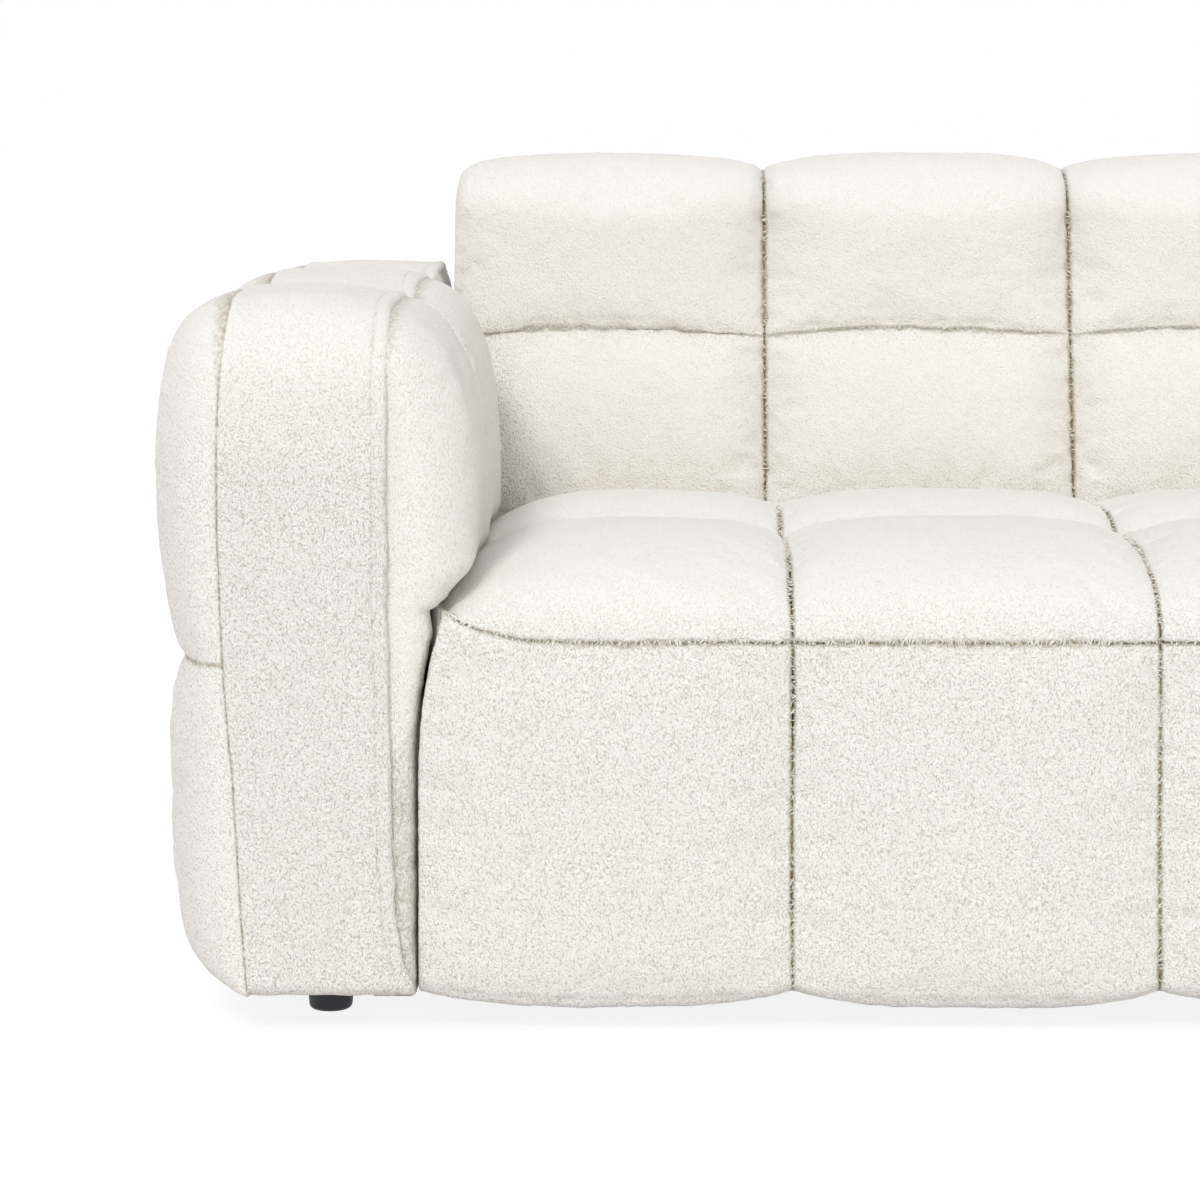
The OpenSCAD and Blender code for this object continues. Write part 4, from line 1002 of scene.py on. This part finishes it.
SIDES = {"left": -1, "right": 1}
names = [f"arm_{face}_side_{word}" for word in SIDES for face in ("inner", "outer")]
arm_panels = [form(side) for side in SIDES.values() for form in (arm_inner, arm_outer)]
nodes = [f"arm_cover_{word}" for word in SIDES for _ in range(2)]
sew(names, arm_panels, nodes, 0.6, slack=4.0, step=15.0)
for word, side in SIDES.items():
    dress(arm_band(side, f"arm_band_{word}"), f"arm_cover_{word}")


# ---------------------------------------------------------------- loose yarn over the seams
def along_line(line, places):
    """Float indices of places, given as lengths, along a polyline."""
    length = np.concatenate([[0], np.cumsum(np.linalg.norm(np.diff(line, axis=0), axis=-1))])
    return np.interp(places * length[-1], length, np.arange(len(line)))


def pick(grid, i, j):
    """Bilinear reading of a grid (n, m, 3) at float indices."""
    i, j = np.clip(i, 0, grid.shape[0] - 1.001), np.clip(j, 0, grid.shape[1] - 1.001)
    a, b = i.astype(int), j.astype(int)
    u, v = (i - a)[:, None], (j - b)[:, None]
    low = grid[a, b] * (1 - v) + grid[a, b + 1] * v
    high = grid[a + 1, b] * (1 - v) + grid[a + 1, b + 1] * v
    return low * (1 - u) + high * u


def seam_yarn(near, far, spacing, seed, reach, thick=(0.3, 0.6)):
    """Curved yarn ends across a seam. near and far (n, k, 3) are the surface on its two sides, from the
    seam outwards. Returns start, bend and end points and radii."""
    rng = np.random.default_rng(seed)
    line = near[:, 0]
    total = np.linalg.norm(np.diff(line, axis=0), axis=-1).sum()
    count = max(8, int(total / spacing))
    at = along_line(line, rng.random(count))
    lean = rng.normal(0, 0.9, count)
    first = pick(near, at, rng.uniform(*reach, count))
    last = pick(far, at + lean, rng.uniform(*reach, count))
    bottom = pick(near, at, np.zeros(count))
    out = (first + last) / 2 - bottom
    out /= np.maximum(np.linalg.norm(out, axis=-1, keepdims=True), 1e-6)
    swap = rng.random(count) < 0.5
    start, end = np.where(swap[:, None], last, first), np.where(swap[:, None], first, last)
    short = rng.uniform(0.45, 1.0, count)[:, None]
    end = start + (end - start) * short + out * rng.uniform(-0.9, 0.4, count)[:, None]
    bend = (start + end) / 2 + out * rng.uniform(0.3, 1.7, count)[:, None]
    return start - out * 0.6, bend, end, rng.uniform(*thick, count)


def yarn(name, strands, node):
    """Closed three-sided strands, bent through start, bend and end points, as one piece."""
    start, bend, end, radius = (np.concatenate(k) for k in zip(*strands))
    count, steps = len(start), 4
    t = np.linspace(0, 1, steps)[None, :, None]
    middle = (1 - t) ** 2 * start[:, None] + 2 * t * (1 - t) * bend[:, None] + t**2 * end[:, None]
    run = np.gradient(middle, axis=1)
    run /= np.maximum(np.linalg.norm(run, axis=-1, keepdims=True), 1e-6)
    aside = np.cross(run, (end - start)[:, None] * [0.31, 0.52, -0.77] + [0.0, 0.01, 1.0])
    aside /= np.maximum(np.linalg.norm(aside, axis=-1, keepdims=True), 1e-6)
    up = np.cross(run, aside)
    taper = np.array([0.75, 1.0, 1.0, 0.55])[None, :, None]
    rings = []
    for k in range(3):
        angle = 2 * math.pi * k / 3
        out = math.cos(angle) * aside + math.sin(angle) * up
        rings.append(middle + out * radius[:, None, None] * taper)
    points = np.stack(rings, 2).reshape(-1, 3)
    base = (np.arange(count) * steps * 3)[:, None, None]
    quads = (base + grid_faces(steps, 3, closed=True)[None]).reshape(-1, 4)
    one = base[:, :, 0] + np.array([[2, 1, 0]])
    two = base[:, :, 0] + (steps - 1) * 3 + np.array([[0, 1, 2]])
    o = piece(name, points, list(quads[:, ::-1]) + list(one[:, ::-1]) + list(two[:, ::-1]), fibre)
    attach(o, "root")
    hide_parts(node)
    return o


NEAR = 8  # grid points from a seam that its yarn may reach


def beside_seam(grid, last):
    """The surface beside a column's first or last side seam, from the seam outwards, as (path, distance)."""
    return np.swapaxes(grid[::-1][:NEAR] if last else grid[:NEAR], 0, 1)


def column_seams(grids, spacing, seed, reach):
    pairs = zip(grids, grids[1:])
    return [
        seam_yarn(beside_seam(a, True), beside_seam(b, False), spacing, seed + k, reach)
        for k, (a, b) in enumerate(pairs)
    ]


def cross_seams(grids, at, spacing, seed, reach, **settings):
    return [
        seam_yarn(g[:, at::-1][:, :NEAR], g[:, at:][:, :NEAR], spacing, seed + k, reach, **settings)
        for k, g in enumerate(grids)
    ]


strands = column_seams(seat_grids, 2.4, 200, (0.8, 2.6))
yarn("seat_column_seam_yarn", strands, "seat_cover")
strands = cross_seams(seat_grids, len(FACE) - 1, 1.3, 220, (1.0, 3.2), thick=(0.4, 0.8))
yarn("seat_front_seam_yarn", strands, "seat_cover")
strands = cross_seams(seat_grids, CROSS_AT, 2.4, 240, (0.8, 2.6))
yarn("seat_cross_seam_yarn", strands, "seat_cover")
strands = column_seams(back_grids, 2.8, 260, (0.8, 2.4))
strands += cross_seams(back_grids, len(LOW) - 1, 2.0, 280, (0.8, 2.4))
yarn("back_seam_yarn", strands, "back_cover")


# ---------------------------------------------------------------- dust cloths
def dust_cloth(node, sag=3.0):
    """Thin cloth stapled under a frame, which hangs a little between its rim and the seat's middle."""
    low, high = (np.array(v) * 1000 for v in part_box(node))
    wide, deep = high[0] - low[0], high[1] - low[1]
    x = np.linspace(0, wide, max(12, int(wide / 20)))
    y = np.linspace(0, deep, max(8, int(deep / 20)))
    held = swell(x / wide, 6.0)[:, None] * swell(y / deep, 6.0)[None, :]
    held = held * smooth(np.abs(x + low[0]) / 140)[:, None]
    px, py = np.meshgrid(low[0] + x, low[1] + y, indexing="ij")
    p = np.stack([px, py, 0 * px], -1)
    down = held * (sag + 0.8 * noise(p, 90, 171) + 0.5 * noise(p, 35, 172))
    under = p + np.stack([0 * px, 0 * px, low[2] + 0.3 - down], -1)
    above = under + np.array([0, 0, 0.5])
    rings = np.concatenate([under, above[:, ::-1]], 1)
    cloth = tube(node.replace("_cover", "_cloth"), rings, by_slot["dust_cloth"], np.zeros(under.shape[:2]))
    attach(cloth, "root")
    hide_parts(node)


for node in ("seat_dust_cover", "back_dust_cover", "arm_dust_cover_left", "arm_dust_cover_right"):
    dust_cloth(node)


# ---------------------------------------------------------------- setting
def seen_directly(tree):
    """1 for a ray from the camera, off a shiny surface or through a clear one, and 0 for lighting."""
    path = tree.nodes.new("ShaderNodeLightPath")
    seen = path.outputs["Is Camera Ray"]
    for kind in ("Is Glossy Ray", "Is Transmission Ray"):
        either = tree.nodes.new("ShaderNodeMath")
        either.operation = "MAXIMUM"
        tree.links.new(seen, either.inputs[0])
        tree.links.new(path.outputs[kind], either.inputs[1])
        seen = either.outputs[0]
    return seen


def stage_floor():
    """White floor that keeps a faint shadow of the sofa. It lights the sofa as a plain pale floor."""
    size = 30000.0
    m = Nodes("floor")
    m.shader.inputs["Base Color"].default_value = (0.9, 0.9, 0.9, 1)
    m.shader.inputs["Roughness"].default_value = 0.9
    glow = m.add("ShaderNodeEmission", {"Color": (1, 1, 1, 1), "Strength": 0.88})
    shaded = m.add("ShaderNodeBsdfDiffuse", {"Color": (0.14, 0.14, 0.14, 1)})
    pale = m.add("ShaderNodeAddShader", {0: glow.outputs[0], 1: shaded.outputs[0]})
    choice = {0: seen_directly(m.tree), 1: m.shader.outputs[0], 2: pale.outputs[0]}
    joined = m.add("ShaderNodeMixShader", choice)
    m.tree.links.new(joined.outputs[0], m.tree.nodes["Material Output"].inputs["Surface"])
    p = [[-size, -size, 0], [size, -size, 0], [size, size, 0], [-size, size, 0]]
    piece("floor", p, [[0, 1, 2, 3]], m.material)


def studio_world():
    """Soft even light, and a white background."""
    world = bpy.data.worlds.new("studio")
    bpy.context.scene.world = world
    world.use_nodes = True
    tree = world.node_tree
    soft = tree.nodes["Background"]
    soft.inputs["Color"].default_value = (1.0, 0.99, 0.985, 1)
    soft.inputs["Strength"].default_value = 0.70
    white = tree.nodes.new("ShaderNodeBackground")
    white.inputs["Color"].default_value = (1, 1, 1, 1)
    white.inputs["Strength"].default_value = 1.0
    choice = tree.nodes.new("ShaderNodeMixShader")
    tree.links.new(seen_directly(tree), choice.inputs[0])
    tree.links.new(soft.outputs[0], choice.inputs[1])
    tree.links.new(white.outputs[0], choice.inputs[2])
    tree.links.new(choice.outputs[0], tree.nodes["World Output"].inputs["Surface"])


def sun(name, place, angle, strength, colour):
    """A soft distant light that comes from a place towards the middle of the sofa."""
    light = bpy.data.lights.new(name, "SUN")
    light.color = colour
    light.angle = math.radians(angle)
    light.energy = strength
    o = bpy.data.objects.new(name, light)
    bpy.context.scene.collection.objects.link(o)
    o.location = place
    o.rotation_mode = "QUATERNION"
    o.rotation_quaternion = (-Vector(place)).to_track_quat("-Z", "Y")


def photo_camera():
    """The photograph's camera: level, with its horizon near the top of the frame."""
    frame_size = 1200  # pixels of the photograph's side
    focal = 3906  # focal length in those pixels
    straight_x, straight_y = 669, 125  # the pixel that the camera looks straight at
    data = bpy.data.cameras.new("camera")
    data.sensor_width = 36.0
    data.lens = focal / frame_size * data.sensor_width
    data.shift_x = (frame_size / 2 - straight_x) / frame_size
    data.shift_y = (straight_y - frame_size / 2) / frame_size
    data.clip_end = 100
    camera = bpy.data.objects.new("camera", data)
    bpy.context.scene.collection.objects.link(camera)
    camera.location = (-0.696, -3.600, 0.734)
    camera.rotation_euler = (math.radians(90), 0, 0)
    bpy.context.scene.camera = camera


stage_floor()
studio_world()
sun("key", (-1.6, -4.0, 4.2), 14, 1.36, (1.0, 1.0, 0.99))
sun("fill", (2.4, -3.8, 1.9), 26, 0.48, (1.0, 0.93, 0.90))
sun("top", (-0.3, -1.6, 4.5), 50, 0.50, (0.66, 0.80, 1.0))
photo_camera()
bpy.context.scene.view_settings.view_transform = "Standard"
